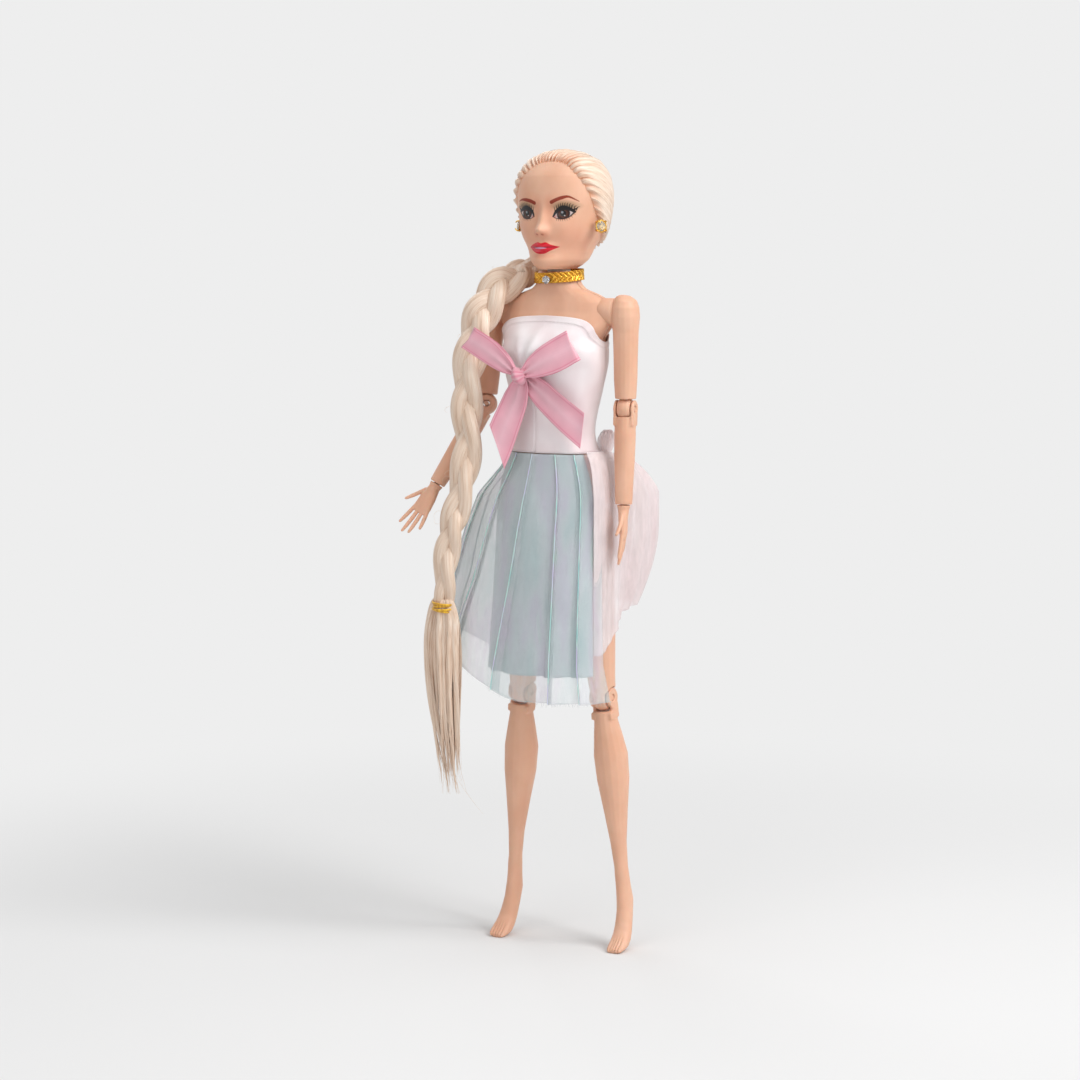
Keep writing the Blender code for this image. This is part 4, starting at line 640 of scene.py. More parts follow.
def moulding(source, body, part_name):
    """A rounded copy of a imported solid, in the colour of the skin."""
    voxel, passes = MOULDINGS[part_name]
    obj = bpy.data.objects.new(source + "_moulding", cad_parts[source].data.copy())
    bpy.context.scene.collection.objects.link(obj)
    in_edit_mode(obj, merge_doubles)
    remesh = obj.modifiers.new("even_skin", "REMESH")
    remesh.mode = "VOXEL"
    remesh.voxel_size = voxel * MM
    smooth = obj.modifiers.new("rounding", "SMOOTH")
    smooth.iterations = passes
    smooth.factor = 0.5
    apply_modifiers(obj)
    finish_piece(obj, skin, body, 60)
    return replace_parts(obj, source)


def refinish(source, finish):
    """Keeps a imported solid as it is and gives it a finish."""
    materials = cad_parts[source].data.materials
    materials.clear()
    materials.append(finish)


for source in ("torso_front", "torso_back"):
    moulding(source, "torso", source)
for side in ("left", "right"):
    for part_name in ("upper_arm", "forearm", "hand", "thigh"):
        moulding(f"{side}_{part_name}", f"{side}_{part_name}", part_name)
    moulding(f"{side}_elbow_link", f"{side}_elbow", "elbow_link")
    for part_name in ("knee_pin", "elbow_pin", "shoulder_peg"):
        refinish(f"{side}_{part_name}", skin)
refinish("hip_axle", steel)
refinish("neck_knob", ivory)

# %% [markdown]
# ### Shoulder collars
# Between the torso and the arm a moulded boss rounds off the shoulder. It is a bevelled cylinder on the axis that the
# arm turns about, so it stays in place when the arm swings.

# %% Shoulder collars
COLLAR_RADIUS = 4.9 * MM
COLLAR_TO_TORSO = 5.0 * MM
COLLAR_INTO_ARM = 2.0 * MM
COLLAR_ROUNDING = 1.6 * MM


def shoulder_collar(side, way):
    """A round boss that fills the gap between torso and arm."""
    peg_low, peg_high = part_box(f"{side}_shoulder_peg")
    arm_low, arm_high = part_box(f"{side}_upper_arm")
    arm_side = arm_low.x if way > 0 else arm_high.x
    axis = (peg_low + peg_high) / 2
    start, end = arm_side - way * COLLAR_TO_TORSO, arm_side + way * COLLAR_INTO_ARM
    bpy.ops.object.select_all(action="DESELECT")
    bpy.ops.mesh.primitive_cylinder_add(vertices=64, radius=COLLAR_RADIUS, depth=abs(end - start),
                                        location=((start + end) / 2, axis.y, axis.z), rotation=(0, math.pi / 2, 0))
    obj = bpy.context.active_object
    obj.name = obj.data.name = f"{side}_shoulder_collar"
    bpy.ops.object.transform_apply(location=True, rotation=True, scale=True)
    bevel = obj.modifiers.new("soft_edges", "BEVEL")
    bevel.width = COLLAR_ROUNDING
    bevel.segments = 4
    apply_modifiers(obj)
    return finish_piece(obj, skin, f"{side}_upper_arm", 40)


for side, way in SIDES:
    shoulder_collar(side, way)

# %% [markdown]
# ### Lower legs with toes
# Each lower leg is one moulding with its foot, which stands on tiptoe. The toes are five short rounded ends with
# grooves between them, pressed into the smoothed copy by moving its points.

# %% Lower legs
TOE_PLACES = (-0.62, -0.27, 0.04, 0.33, 0.60)
TOE_ZONE = 9.5 * MM
TOE_GROOVE = 0.34 * MM
GROOVE_WIDTH = 0.22 * MM
TIP_LENGTH = 3 * MM
GROOVE_LENGTH = 5.2 * MM
GROOVE_FADE = 2.6 * MM
SOLE_FADE = 0.8 * MM


def shape_toes(obj, side):
    """Presses grooves between the toes. The great toe is on the inner side of the foot."""
    points = [vertex.co for vertex in obj.data.vertices if vertex.co.z < TOE_ZONE]
    low_y = min(point.y for point in points)
    tip = [point for point in points if point.y < low_y + TIP_LENGTH]
    middle = sum(point.x for point in tip) / len(tip)
    half = max(abs(point.x - middle) for point in tip)
    grooves = [(a + b) / 2 for a, b in zip(TOE_PLACES, TOE_PLACES[1:])]
    for point in points:
        reach = min(1.0, max(0.0, (low_y + GROOVE_LENGTH - point.y) / GROOVE_FADE))
        height = min(1.0, max(0.0, point.z / SOLE_FADE))
        for groove in grooves:
            away = point.x - (middle + side * (-groove) * half)
            depth = TOE_GROOVE * math.exp(-((away / GROOVE_WIDTH) ** 2)) * reach
            point.z -= depth * height
            point.y += depth * 1.6


for side, way in SIDES:
    leg = moulding(f"{side}_lower_leg", f"{side}_lower_leg", "lower_leg")
    shape_toes(leg, way)

# %% [markdown]
# ## Head
# The head is hollow soft vinyl. Its face is one smooth surface, so a grid primitive is wrapped round it by the same
# rule that made the solid: oval levels with a few soft rises for nose, lips, brows and chin. The paint is printed on
# afterwards. Here it is a colour attribute: strokes and ovals are laid over the points of the mesh, and the faces
# round the eyes, brows and lips are subdivided first so that the lashes stay sharp. A few of the ovals are not print
# but painted shade and painted highlights.

# %% The shape of the head
HEAD_BOTTOM = 247.3 * MM
HEAD_HEIGHT = 41 * MM
HEAD_HALF = 16.2 * MM
HEAD_DEPTH = 18 * MM
HEAD_Y = 5 * MM
NOSE_LENGTH = 3.4 * MM
# Height share of the head, half width share, front and back depth shares
HEAD_SHARES = [
    (0.000, 0.34, 0.80, 0.11), (0.030, 0.46, 0.87, 0.25), (0.080, 0.60, 0.90, 0.45), (0.140, 0.70, 0.87, 0.60),
    (0.240, 0.82, 0.86, 0.74), (0.360, 0.91, 0.85, 0.85), (0.500, 0.97, 0.82, 0.92), (0.650, 1.00, 0.81, 0.94),
    (0.800, 0.93, 0.72, 0.86), (0.910, 0.74, 0.52, 0.66), (0.975, 0.42, 0.28, 0.36), (1.000, 0.12, 0.08, 0.10),
]
# Side share of the half width, height share, spread sideways and upwards, and rise as a share of the nose's length
FACE_SHARES = [
    (0.00, 0.335, 0.10, 0.030, 0.70), (0.00, 0.390, 0.08, 0.060, 0.45), (0.00, 0.480, 0.07, 0.070, 0.22),
    (0.07, 0.325, 0.06, 0.025, 0.22), (0.43, 0.490, 0.17, 0.045, -0.38), (0.40, 0.575, 0.24, 0.030, 0.14),
    (0.52, 0.330, 0.20, 0.080, 0.22), (0.00, 0.205, 0.20, 0.017, 0.42), (0.00, 0.170, 0.15, 0.016, 0.44),
    (0.00, 0.070, 0.24, 0.050, 0.40), (0.105, 0.312, 0.035, 0.014, 0.10), (0.00, 0.262, 0.030, 0.020, -0.06),
    (0.00, 0.187, 0.17, 0.004, -0.10), (0.44, 0.500, 0.13, 0.030, 0.20), (0.43, 0.435, 0.16, 0.012, 0.04),
]
# The jaw draws in at the sides below the ears, as shares of the half width and of the head's height
JAW_NARROWING = 0.10
JAW_HEIGHT_SHARE = 0.17
JAW_SPREAD_SHARE = 0.10
FACE_CROWDING = 0.45


def head_point(turn, share):
    """A place on the vinyl face and skull. Turn 0 is the nose, and a positive turn goes to the doll's left."""
    half, front, back = between(HEAD_SHARES, share)
    side, ahead = math.sin(math.tau * turn), math.cos(math.tau * turn)
    half *= 1 - JAW_NARROWING * math.exp(-(((share - JAW_HEIGHT_SHARE) / JAW_SPREAD_SHARE) ** 2))
    x = half * HEAD_HALF * squared_off(side)
    depth = (front if ahead > 0 else back) * HEAD_DEPTH
    y = HEAD_Y - depth * squared_off(ahead, 0.88)
    if ahead > 0:
        place = abs(x) / HEAD_HALF
        for middle, height, wide, tall, rise in FACE_SHARES:
            away = ((place - middle) / wide) ** 2 + ((share - height) / tall) ** 2
            if away < 18:
                y -= NOSE_LENGTH * rise * math.exp(-away / 2) * ahead
    return Vector((x, y, HEAD_BOTTOM + share * HEAD_HEIGHT))


def head_spot(u, v):
    return PLACE + head_point(crowded(u, FACE_CROWDING), 1 - v)


head = formed_grid("painted_head", 224, 168, head_spot)
in_edit_mode(head, close_ends, turn_faces_out)

# %% Finer faces where paint goes
# Left, right, low and high of the eyes and brows, and of the mouth. Each counts on both sides of the face
FINE_ZONES_MM = ((1.6, 13.6, 263.6, 274.2), (-6.4, 6.4, 251.6, 258.2))
FINE_ZONE_BACK = 2 * MM


def in_fine_zone(point):
    x, z = (point.x - PLACE.x) / MM, point.z / MM
    if point.y - PLACE.y > FINE_ZONE_BACK:
        return False
    return any(left <= abs(x) <= right and low <= z <= high for left, right, low, high in FINE_ZONES_MM)


edit_faces(head, lambda face: in_fine_zone(face.center))
bpy.ops.mesh.subdivide(number_cuts=2)
bpy.ops.object.mode_set(mode="OBJECT")
print("head has", len(head.data.vertices), "points")

# %% Paint
SOFT_MM = 0.10
FACE_MIDDLE_MM = -0.25
FRONT_MM = 3.0
STROKE_PARTS = 12
LINE_PARTS = 24
count = len(head.data.vertices)
flat = np.empty(count * 3)
head.data.vertices.foreach_get("co", flat)
spots = flat.reshape(-1, 3)
face_x = (spots[:, 0] - PLACE.x) / MM - FACE_MIDDLE_MM
face_z = spots[:, 2] / MM
on_front = (spots[:, 1] - PLACE.y) / MM < FRONT_MM
paint = np.zeros((count, 4))
gloss = np.zeros(count)


def flat_route(points, parts):
    """Places on a smooth line through points on the face, at even shares of it."""
    return [along_route([(*point, 0) for point in points], k / parts).xy for k in range(parts + 1)]


def stroke(x, points, start_width, middle_width, end_width, soft=SOFT_MM):
    """How much a brush stroke along points covers each place. Its width runs over three values in mm."""
    route = flat_route(points, STROKE_PARTS)
    cover = np.zeros(count)
    for k, (a, b) in enumerate(zip(route, route[1:])):
        run = b - a
        t = np.clip(((x - a.x) * run.x + (face_z - a.y) * run.y) / max(run.length_squared, 1e-9), 0, 1)
        away = np.hypot(x - a.x - t * run.x, face_z - a.y - t * run.y)
        place = (k + t) / STROKE_PARTS
        width = np.interp(place, (0, 0.5, 1), (start_width, middle_width, end_width)) / 2
        cover = np.maximum(cover, np.clip((width - away) / soft + 0.5, 0, 1))
    return cover * on_front


def oval_patch(x, middle_x, middle_z, half_x, half_z, soft):
    """How much an oval covers each place. Soft is a share of its size over which the edge fades."""
    away = np.hypot((x - middle_x) / half_x, (face_z - middle_z) / half_z)
    return np.clip((1 - away) / soft + 0.5, 0, 1) * on_front


def between_lines(x, lower, upper, soft=SOFT_MM):
    """How much the space between two lines of points covers each place."""
    low_line, high_line = flat_route(lower, LINE_PARTS), flat_route(upper, LINE_PARTS)
    low_z = np.interp(x, [p.x for p in low_line], [p.y for p in low_line])
    high_z = np.interp(x, [p.x for p in high_line], [p.y for p in high_line])
    inside = np.clip(np.minimum(face_z - low_z, high_z - face_z) / soft + 0.5, 0, 1)
    ends = (x > low_line[0].x) & (x < low_line[-1].x)
    return inside * ends * on_front


def lay(cover, colour, strength=1.0, shine=None):
    """Lays a colour over the paint that is already there."""
    amount = cover * strength
    keep = paint[:, 3] * (1 - amount)
    total = np.maximum(keep + amount, 1e-6)
    for channel in range(3):
        paint[:, channel] = (paint[:, channel] * keep + colour[channel] * amount) / total
    paint[:, 3] = keep + amount
    if shine is not None:
        gloss[:] = np.maximum(gloss * (1 - amount), shine * amount)


# %% Blush, brows and eyes
BLUSH = tone(222, 132, 108)
# Painted shade on the skin beside the nose bridge and round the brows
PAINTED_SHADE = tone(206, 122, 92)
BROW = tone(136, 46, 22)
INK = tone(22, 16, 18)
PUPIL = tone(14, 12, 14)
IRIS_X = 7.25
IRIS_Z = 266.95
BROW_LINES = {
    1: [(3.4, 270.9), (5.0, 271.7), (7.2, 272.5), (9.4, 272.8), (12.3, 271.2)],
    -1: [(3.5, 270.6), (5.2, 271.3), (7.4, 271.7), (9.6, 271.8), (11.6, 271.2)],
}
LOWER_LID = [(3.9, 265.8), (4.9, 265.3), (7.2, 265.05), (9.2, 265.7), (10.9, 267.5)]
UPPER_LID = [(3.9, 265.9), (5.0, 267.8), (7.2, 268.9), (9.2, 268.6), (10.9, 267.6)]
UPPER_ROOTS = [(3.4, 266.0), (4.8, 268.2), (7.2, 269.3), (9.4, 269.1), (11.4, 268.1)]
LOWER_ROOTS = [(3.4, 265.7), (4.6, 265.1), (7.2, 264.85), (9.4, 265.5), (11.2, 267.6)]
# Blush, painted shade beside the nose bridge and round the brows, and eye shadow: middle, half sizes and softness
# of an oval, then its colour and strength
SHADES = [
    ((9.0, 258.0, 6.0, 5.5, 1.2), BLUSH, 0.20), ((2.3, 268.0, 1.5, 4.4, 1.2), PAINTED_SHADE, 0.32),
    ((5.0, 271.8, 4.5, 2.0, 1.2), PAINTED_SHADE, 0.20), ((8.0, 269.7, 3.9, 1.5, 0.9), tone(128, 112, 74), 0.62),
    ((8.0, 269.2, 3.2, 0.8, 0.9), tone(60, 52, 38), 0.5),
]
IRIS_RINGS = [(2.25, tone(20, 13, 13)), (1.85, tone(62, 30, 20)), (1.35, tone(84, 46, 32))]
for side in (1, -1):
    x = face_x * side
    for oval, colour, strength in SHADES:
        lay(oval_patch(x, *oval), colour, strength)
    lay(stroke(x, BROW_LINES[side], 1.35, 1.25, 0.2, 0.22), BROW, 1.0)
    opening = between_lines(x, LOWER_LID, UPPER_LID)
    lay(stroke(x, LOWER_LID, 0.3, 0.7, 0.6, 0.3), tone(150, 78, 60), 0.6)
    lay(opening, tone(206, 186, 182), 1.0, 0.8)
    lay(oval_patch(x, 3.9, 265.8, 1.1, 0.7, 0.8) * opening, tone(176, 96, 84), 0.8)
    for half, colour in IRIS_RINGS:
        lay(oval_patch(x, IRIS_X, IRIS_Z, half, half * 1.05, 0.10) * opening, colour, 1.0, 0.9)
    lay(oval_patch(x, IRIS_X, IRIS_Z, 1.0, 1.05, 0.2) * opening, PUPIL, 1.0, 0.9)
    # Painted highlights in each eye: a grey patch above the pupil and a small white spot beside it
    lay(oval_patch(face_x, side * IRIS_X - 0.35, 267.35, 0.42, 0.40, 0.5) * opening, tone(150, 154, 160), 0.85)
    lay(oval_patch(face_x, side * IRIS_X + 0.5, 266.2, 0.24, 0.2, 0.5) * opening, tone(190, 186, 186), 0.9)
    lay(stroke(x, UPPER_LID, 0.55, 1.75, 0.9, 0.14), INK, 1.0, 0.5)
    lay(stroke(x, [(10.3, 268.0), (11.1, 268.5), (11.9, 269.0)], 0.7, 0.5, 0.08), INK, 1.0)
    lay(stroke(x, LOWER_LID, 0.16, 0.36, 0.55), INK, 0.85)
    for k in range(11):
        share = k / 10
        root_x = 4.4 + 7.0 * share
        (root_z,) = between(UPPER_ROOTS, root_x)
        lean = -0.25 + 1.35 * share
        middle = (root_x + 0.36 * lean, root_z + 1.0)
        tip = (root_x + 0.95 * lean, root_z + 1.75 - 0.5 * share)
        lay(stroke(x, [(root_x, root_z), middle, tip], 0.34, 0.24, 0.05, 0.09), INK, 0.95)
    for k in range(9):
        share = k / 8
        root_x = 5.2 + 5.4 * share
        (root_z,) = between(LOWER_ROOTS, root_x)
        tip = (root_x + 0.1 + 0.45 * share, root_z - 0.75 + 0.1 * share)
        lay(stroke(x, [(root_x, root_z), tip], 0.18, 0.13, 0.04, 0.08), INK, 0.85)

# %% Nose and mouth
LIP_RED = tone(206, 22, 44)
UPPER_LIP = [(-5.3, 255.15), (-3.6, 256.0), (-1.7, 256.85), (0.0, 256.5), (1.7, 256.85), (3.8, 256.0), (6.3, 255.3)]
LOWER_LIP = [(-5.3, 255.1), (-3.6, 253.75), (-1.7, 252.9), (0.0, 252.7), (1.7, 252.9), (3.6, 253.9), (6.3, 255.2)]
LIPS_MEET = [(-4.6, 255.2), (-2.6, 255.1), (0, 254.9), (2.6, 255.1), (5.4, 255.25)]
# The pale gleam where the lips part
GLEAM_LOWER = [(-2.4, 254.75), (0, 254.45), (2.4, 254.75)]
GLEAM_UPPER = [(-2.4, 254.85), (0, 255.15), (2.4, 254.85)]
# A painted shadow under the lower lip
lay(oval_patch(face_x, 0, 252.0, 3.6, 0.9, 1.0), tone(190, 110, 84), 0.35)
# Painted shade in the nostrils and beside the wings of the nose
for side in (1, -1):
    lay(oval_patch(face_x * side, 1.05, 259.55, 0.55, 0.30, 0.8), tone(150, 74, 56), 0.75)
    lay(oval_patch(face_x * side, 2.1, 260.2, 0.9, 1.2, 1.2), tone(206, 116, 92), 0.28)
lay(between_lines(face_x, LOWER_LIP, UPPER_LIP), LIP_RED, 1.0, 1.0)
# Painted shade in the crease where the lips meet, in dark red
lay(stroke(face_x, LIPS_MEET, 0.12, 0.5, 0.12, 0.25), tone(120, 8, 26), 0.85)
lay(between_lines(face_x, GLEAM_LOWER, GLEAM_UPPER, 0.2), tone(196, 150, 176), 0.95, 0.6)
# A painted highlight on the lower lip
lay(oval_patch(face_x, -0.9, 253.75, 1.5, 0.28, 1.0), tone(250, 120, 140), 0.5)

colours = head.data.color_attributes.new("paint", "FLOAT_COLOR", "POINT")
colours.data.foreach_set("color", paint.astype(np.float32).ravel())
mark_points(head, "gloss", gloss)
finish_piece(head, painted_skin, "head")
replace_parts(head, "head")

# %% [markdown]
# ## Hair
# The hair is rooted along the hairline and combed back tight to the nape. One grid is wrapped round the skull: U runs
# along the hairline and V follows the comb, from each root round the skull to the place where the hair is gathered.
# Points are carried outwards until they meet the head, so the cap always fits it. Comb grooves are real relief.

# %% Combed cap
# Turn from the front, and how high the hairline runs there as a share of the head's height
HAIRLINE_SHARES = [
    (0.00, 0.925), (0.07, 0.900), (0.12, 0.800), (0.16, 0.680), (0.20, 0.520), (0.25, 0.370), (0.31, 0.270),
    (0.40, 0.170), (0.50, 0.140),
]
HAIR_LIFT = 1.5 * MM
HAIR_SUNK = 0.15 * MM
GATHER_SWELL = 1.0 * MM
SKULL_RADIUS = 17 * MM
ROOT_FADE = 1.1 * MM
ROOT_REACH = 4.2 * MM
HAIRLINE_WAVE = 0.006
ROOT_ROW = 0.012
ROW_PACE = 1.25
CAP_CROWDING = 0.30
SKULL_MIDDLE = PLACE + Vector((0, 5, 268)) * MM
GATHER_POINT = PLACE + Vector((1.5, 23, 258.5)) * MM
COMB_GROOVES = 54
fibres = random.Random(7)
groove_phases = [fibres.uniform(0, math.tau) for _ in range(6)]
skull = BVHTree.FromPolygons([vertex.co.copy() for vertex in head.data.vertices],
                             [tuple(face.vertices) for face in head.data.polygons])


def turned_towards(start, end, share):
    """A direction between two others, along the arc that joins them."""
    angle = start.angle(end)
    return (start * math.sin((1 - share) * angle) + end * math.sin(share * angle)) / math.sin(angle)


def comb_wave(u):
    """1 on a tuft and -1 in the groove between two."""
    return math.cos(math.tau * (COMB_GROOVES * u + 0.35 * math.sin(math.tau * 5 * u)))


def comb_relief(u, v, start):
    """Grooves that run with the hair: strong at the roots, finer further back."""
    fine = 0.0
    for k, phase in enumerate(groove_phases):
        fine += math.cos(math.tau * (97 + 31 * k) * u + phase + 3 * v * math.sin(phase + 9 * u)) / 6
    near_root = math.exp(-((start / ROOT_REACH) ** 2))
    return MM * (comb_wave(u) * (0.06 + 0.60 * near_root) + fine * 0.20)


def cap_spot(u, v):
    """The first row lies inside the skull, the second on the hairline and the last where the hair is gathered."""
    turn = crowded(u, CAP_CROWDING)
    if v == 0:
        return SKULL_MIDDLE
    (low,) = between(HAIRLINE_SHARES, abs(turn))
    low -= HAIRLINE_WAVE * math.cos(math.tau * COMB_GROOVES * u)
    root = PLACE + head_point(turn, low)
    first = (root - SKULL_MIDDLE).normalized()
    last = (GATHER_POINT - SKULL_MIDDLE).normalized()
    share = max(0.0, (v - ROOT_ROW) / (1 - ROOT_ROW)) ** ROW_PACE
    direction = turned_towards(first, last, share).normalized()
    hit = skull.ray_cast(SKULL_MIDDLE, direction)[0]
    travelled = share * first.angle(last) * SKULL_RADIUS
    lift = HAIR_LIFT * (1 - math.exp(-travelled / ROOT_FADE)) - HAIR_SUNK
    swell = GATHER_SWELL * share**4
    return hit + direction * (lift + swell + comb_relief(u, share, travelled) * min(1, travelled / MM))


cap = formed_grid("combed_cap", 560, 84, cap_spot)


def mark_scalp_and_shade(obj):
    """Marks how deep each point lies between two tufts of roots, for scalp colour and painted shade there."""
    marks = np.zeros(len(obj.data.vertices))
    uv = obj.data.uv_layers.active.data
    for loop in obj.data.loops:
        u, v = uv[loop.index].uv
        along = max(0.0, (1 - v) - ROOT_ROW) ** ROW_PACE
        between_tufts = (0.5 - 0.5 * comb_wave(u)) * math.exp(-((along * 9) ** 2))
        marks[loop.vertex_index] = between_tufts + 0.8 * math.exp(-along * 90)
    mark_points(obj, "roots", marks)


mark_scalp_and_shade(cap)
finish_piece(cap, cap_hair, "head")
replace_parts(cap, "hair_cap")

# %% [markdown]
# ### Locks, plait and tuft
# A lock is a long soft tube with grooves along it, wide one way and thin the other. Three locks swing from side to
# side and from front to back, each a third of a turn behind the last, and that makes the plait. Loose locks below the
# tie taper to points of different lengths.

# %% A lock of hair
def lock(name, places, half_wide, half_deep, sides=18, grooves=9, relief=0.05):
    """A soft lock along places. The two half sizes are rules over the share of the length."""
    rows = len(places) - 1
    frames = frames_along(places)

    def spot(u, v):
        place, first, second = frames[round(v * rows)]
        angle = math.tau * u
        ridge = 1 + relief * math.cos(grooves * angle + 2.2 * math.sin(5 * v))
        wide, deep = half_wide(v) * ridge, half_deep(v) * ridge
        return place + first * wide * math.cos(angle) + second * deep * math.sin(angle)

    made = formed_grid(name, sides, rows, spot)
    return in_edit_mode(made, close_ends, turn_faces_out)


# %% The plait
BRAID_TOP_MM = 247.3
BRAID_END_MM = 125.0
# X and Y in mm, and the height as a share of the way up from the plait's end to its top
BRAID_ROUTE = [
    (-16.2, 8.8, 0.9935), (-17.2, 2, 0.978), (-20.6, -7.5, 0.936), (-24.2, -13.4, 0.850), (-26.6, -15.6, 0.744),
    (-28.0, -16.0, 0.630), (-26.8, -17.2, 0.515), (-27.6, -18.8, 0.401), (-30.2, -20.5, 0.286), (-33.2, -21.5, 0.172),
    (-34.6, -22.0, 0.0),
]
BRAID_POINTS = [(x, y, BRAID_END_MM + rise * (BRAID_TOP_MM - BRAID_END_MM)) for x, y, rise in BRAID_ROUTE]
# How many lobes have passed the outer edge at each point of the route
LOBES_PASSED = [(0, -1.0), (1, -0.45), (2, 0.45), (3, 1.44), (4, 2.25), (5, 3.0), (6, 3.74), (7, 4.45), (8, 5.24),
                (9, 6.22), (10, 7.30)]
PLAIT_HALF = 6.9 * MM
PLAIT_DEEP = 4.3 * MM
PLAIT_ROWS = 230


def plait_taper(share):
    """The plait widens after its start, thins downwards and closes quickly above the tie."""
    taper = min(1.0, 1.12 - 0.42 * share) * min(1.0, 0.70 + share * 4)
    return taper * (1 if share < 0.955 else 1 - (share - 0.955) * 8)


def strand_place(share, strand):
    """The middle of one strand of the plait."""
    middle = PLACE + along_route(BRAID_POINTS, share) * MM
    step = 0.004
    ahead = along_route(BRAID_POINTS, min(1, share + step)) - along_route(BRAID_POINTS, max(0, share - step))
    ahead.normalize()
    front = across_route(ahead)
    side = ahead.cross(front)
    if side.x < 0:
        side = -side
    (passed,) = between(LOBES_PASSED, share * (len(LOBES_PASSED) - 1))
    turn = math.tau * (passed / 3 + strand / 3) + 7 * math.pi / 6
    taper = plait_taper(share)
    shift = side * math.sin(turn) * 0.50 * PLAIT_HALF + front * math.sin(2 * turn) * 0.40 * PLAIT_DEEP
    return middle + shift * taper


strands = []
for strand in range(3):
    places = [strand_place(k / (PLAIT_ROWS - 1), strand) for k in range(PLAIT_ROWS)]
    strands.append(lock(
        f"strand_{strand}", places,
        lambda v: PLAIT_HALF * 0.50 * plait_taper(v), lambda v: PLAIT_DEEP * 0.56 * plait_taper(v), 44, 14, 0.035,
    ))
plait = join("plait", strands)
finish_piece(plait, lock_hair, "torso")
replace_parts(plait, "braid")

# %% Gathered hair behind the shoulder
ROPES_ROUND = 8
MIDDLE_ROPE = 2.5 * MM
OUTER_ROPE = 1.55 * MM
GATHER_ROUTE = [(1.5, 22.4, 258.6), (-3.2, 23.2, 255.6), (-9.5, 20.5, 252.0), (-14, 15.0, 248.8), (-15.9, 10, 247.0),
                (-16.6, 5.0, 245.4)]
ropes = []
for k in range(ROPES_ROUND + 1):
    in_middle = k == ROPES_ROUND
    angle = math.tau * k / ROPES_ROUND
    ring, size = (0.0, MIDDLE_ROPE) if in_middle else (1.0, OUTER_ROPE)

    def rope_place(share, angle=angle, ring=ring):
        place = PLACE + along_route(GATHER_ROUTE, share) * MM
        ahead = along_route(GATHER_ROUTE, min(1, share + 0.02)) - along_route(GATHER_ROUTE, max(0, share - 0.02))
        ahead.normalize()
        first = ahead.cross(Vector((0, 0, 1))).normalized()
        second = ahead.cross(first)
        spread = (2.1 + 0.9 * math.sin(math.pi * min(1, share * 1.3))) * MM * ring
        swing = angle + 1.3 * share
        return place + spread * (first * math.cos(swing) * 0.85 + second * math.sin(swing) * 1.1)

    def rope_half(v, size=size):
        return size * (0.8 + 0.35 * math.sin(math.pi * v))

    ropes.append(lock(f"rope_{k}", [rope_place(i / 59) for i in range(60)], rope_half, rope_half, 20, 7, 0.05))
gather = join("gathered_hair", ropes)
finish_piece(gather, lock_hair, None)
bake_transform(gather)
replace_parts(gather, "hair_gather")

# %% Elastic tie
TIE_PLACE = PLACE + Vector((-34.6, -22.0, 125.9)) * MM
TIE_COILS = 5
COIL_RADIUS_MM = 3.75
CORD_RADIUS = 0.42 * MM
COIL_STEP = 0.66 * MM
coils = []
for k in range(TIE_COILS):
    bpy.ops.object.select_all(action="DESELECT")
    bpy.ops.mesh.primitive_torus_add(
        major_radius=(COIL_RADIUS_MM + 0.25 * math.sin(1.9 * k)) * MM, minor_radius=CORD_RADIUS, major_segments=56,
        minor_segments=10, location=TIE_PLACE + Vector((0, 0, (k - TIE_COILS // 2) * COIL_STEP)),
        rotation=(math.radians(5 * math.sin(2.3 * k)), math.radians(7 * math.cos(1.7 * k)), 0),
    )
    coil = bpy.context.active_object
    coil.scale = (1, 0.88, 1)
    bpy.ops.object.transform_apply(location=True, rotation=True, scale=True)
    coils.append(coil)
tie = join("elastic_tie", coils)
finish_piece(tie, elastic, "torso")
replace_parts(tie, "hair_tie")

# %% Loose ends below the tie
TUFT_POINTS = [(-34.7, -22.0, 128.5), (-34.9, -22.0, 122.0), (-35.4, -22.0, 111), (-34.8, -21.8, 92),
               (-33.4, -21.2, 72), (-31.9, -20.6, 57.0)]
FINEST_HAIR = 0.02 * MM
FINE_LOCK = 0.11 * MM
CORE_LOCK = 3.0 * MM
loose = random.Random(23)


def tuft_lock(name, radius, angle, reach, half, wave, sides=8, rows=34):
    """One tapered lock of the tuft, at a radius and angle in its section."""
    phase, pull = loose.uniform(0, math.tau), loose.uniform(-1, 1)

    def place_at(v):
        share = v * reach
        place = PLACE + along_route(TUFT_POINTS, min(share, 1)) * MM
        swell = 0.50 + 0.62 * math.sin(math.pi * min(1, share * 1.12) ** 0.9) if share < 0.9 else 0.55
        wander = wave * math.sin(2.6 * math.pi * share + phase) * share
        wide = (6.0 * radius * math.cos(angle) * swell + wander + 1.6 * pull * share**2) * MM
        deep = (2.8 * radius * math.sin(angle) * swell + 0.4 * wander) * MM
        return place + Vector((wide, deep, 0))

    def half_wide(v):
        return half * (0.75 + 0.5 * math.sin(math.pi * v**0.7)) * (1 - v**3) + FINEST_HAIR

    def half_deep(v):
        return 0.55 * half * (0.8 + 0.4 * math.sin(math.pi * v)) * (1 - v**3) + FINEST_HAIR

    return lock(name, [place_at(i / (rows - 1)) for i in range(rows)], half_wide, half_deep, sides, 3, 0.10)


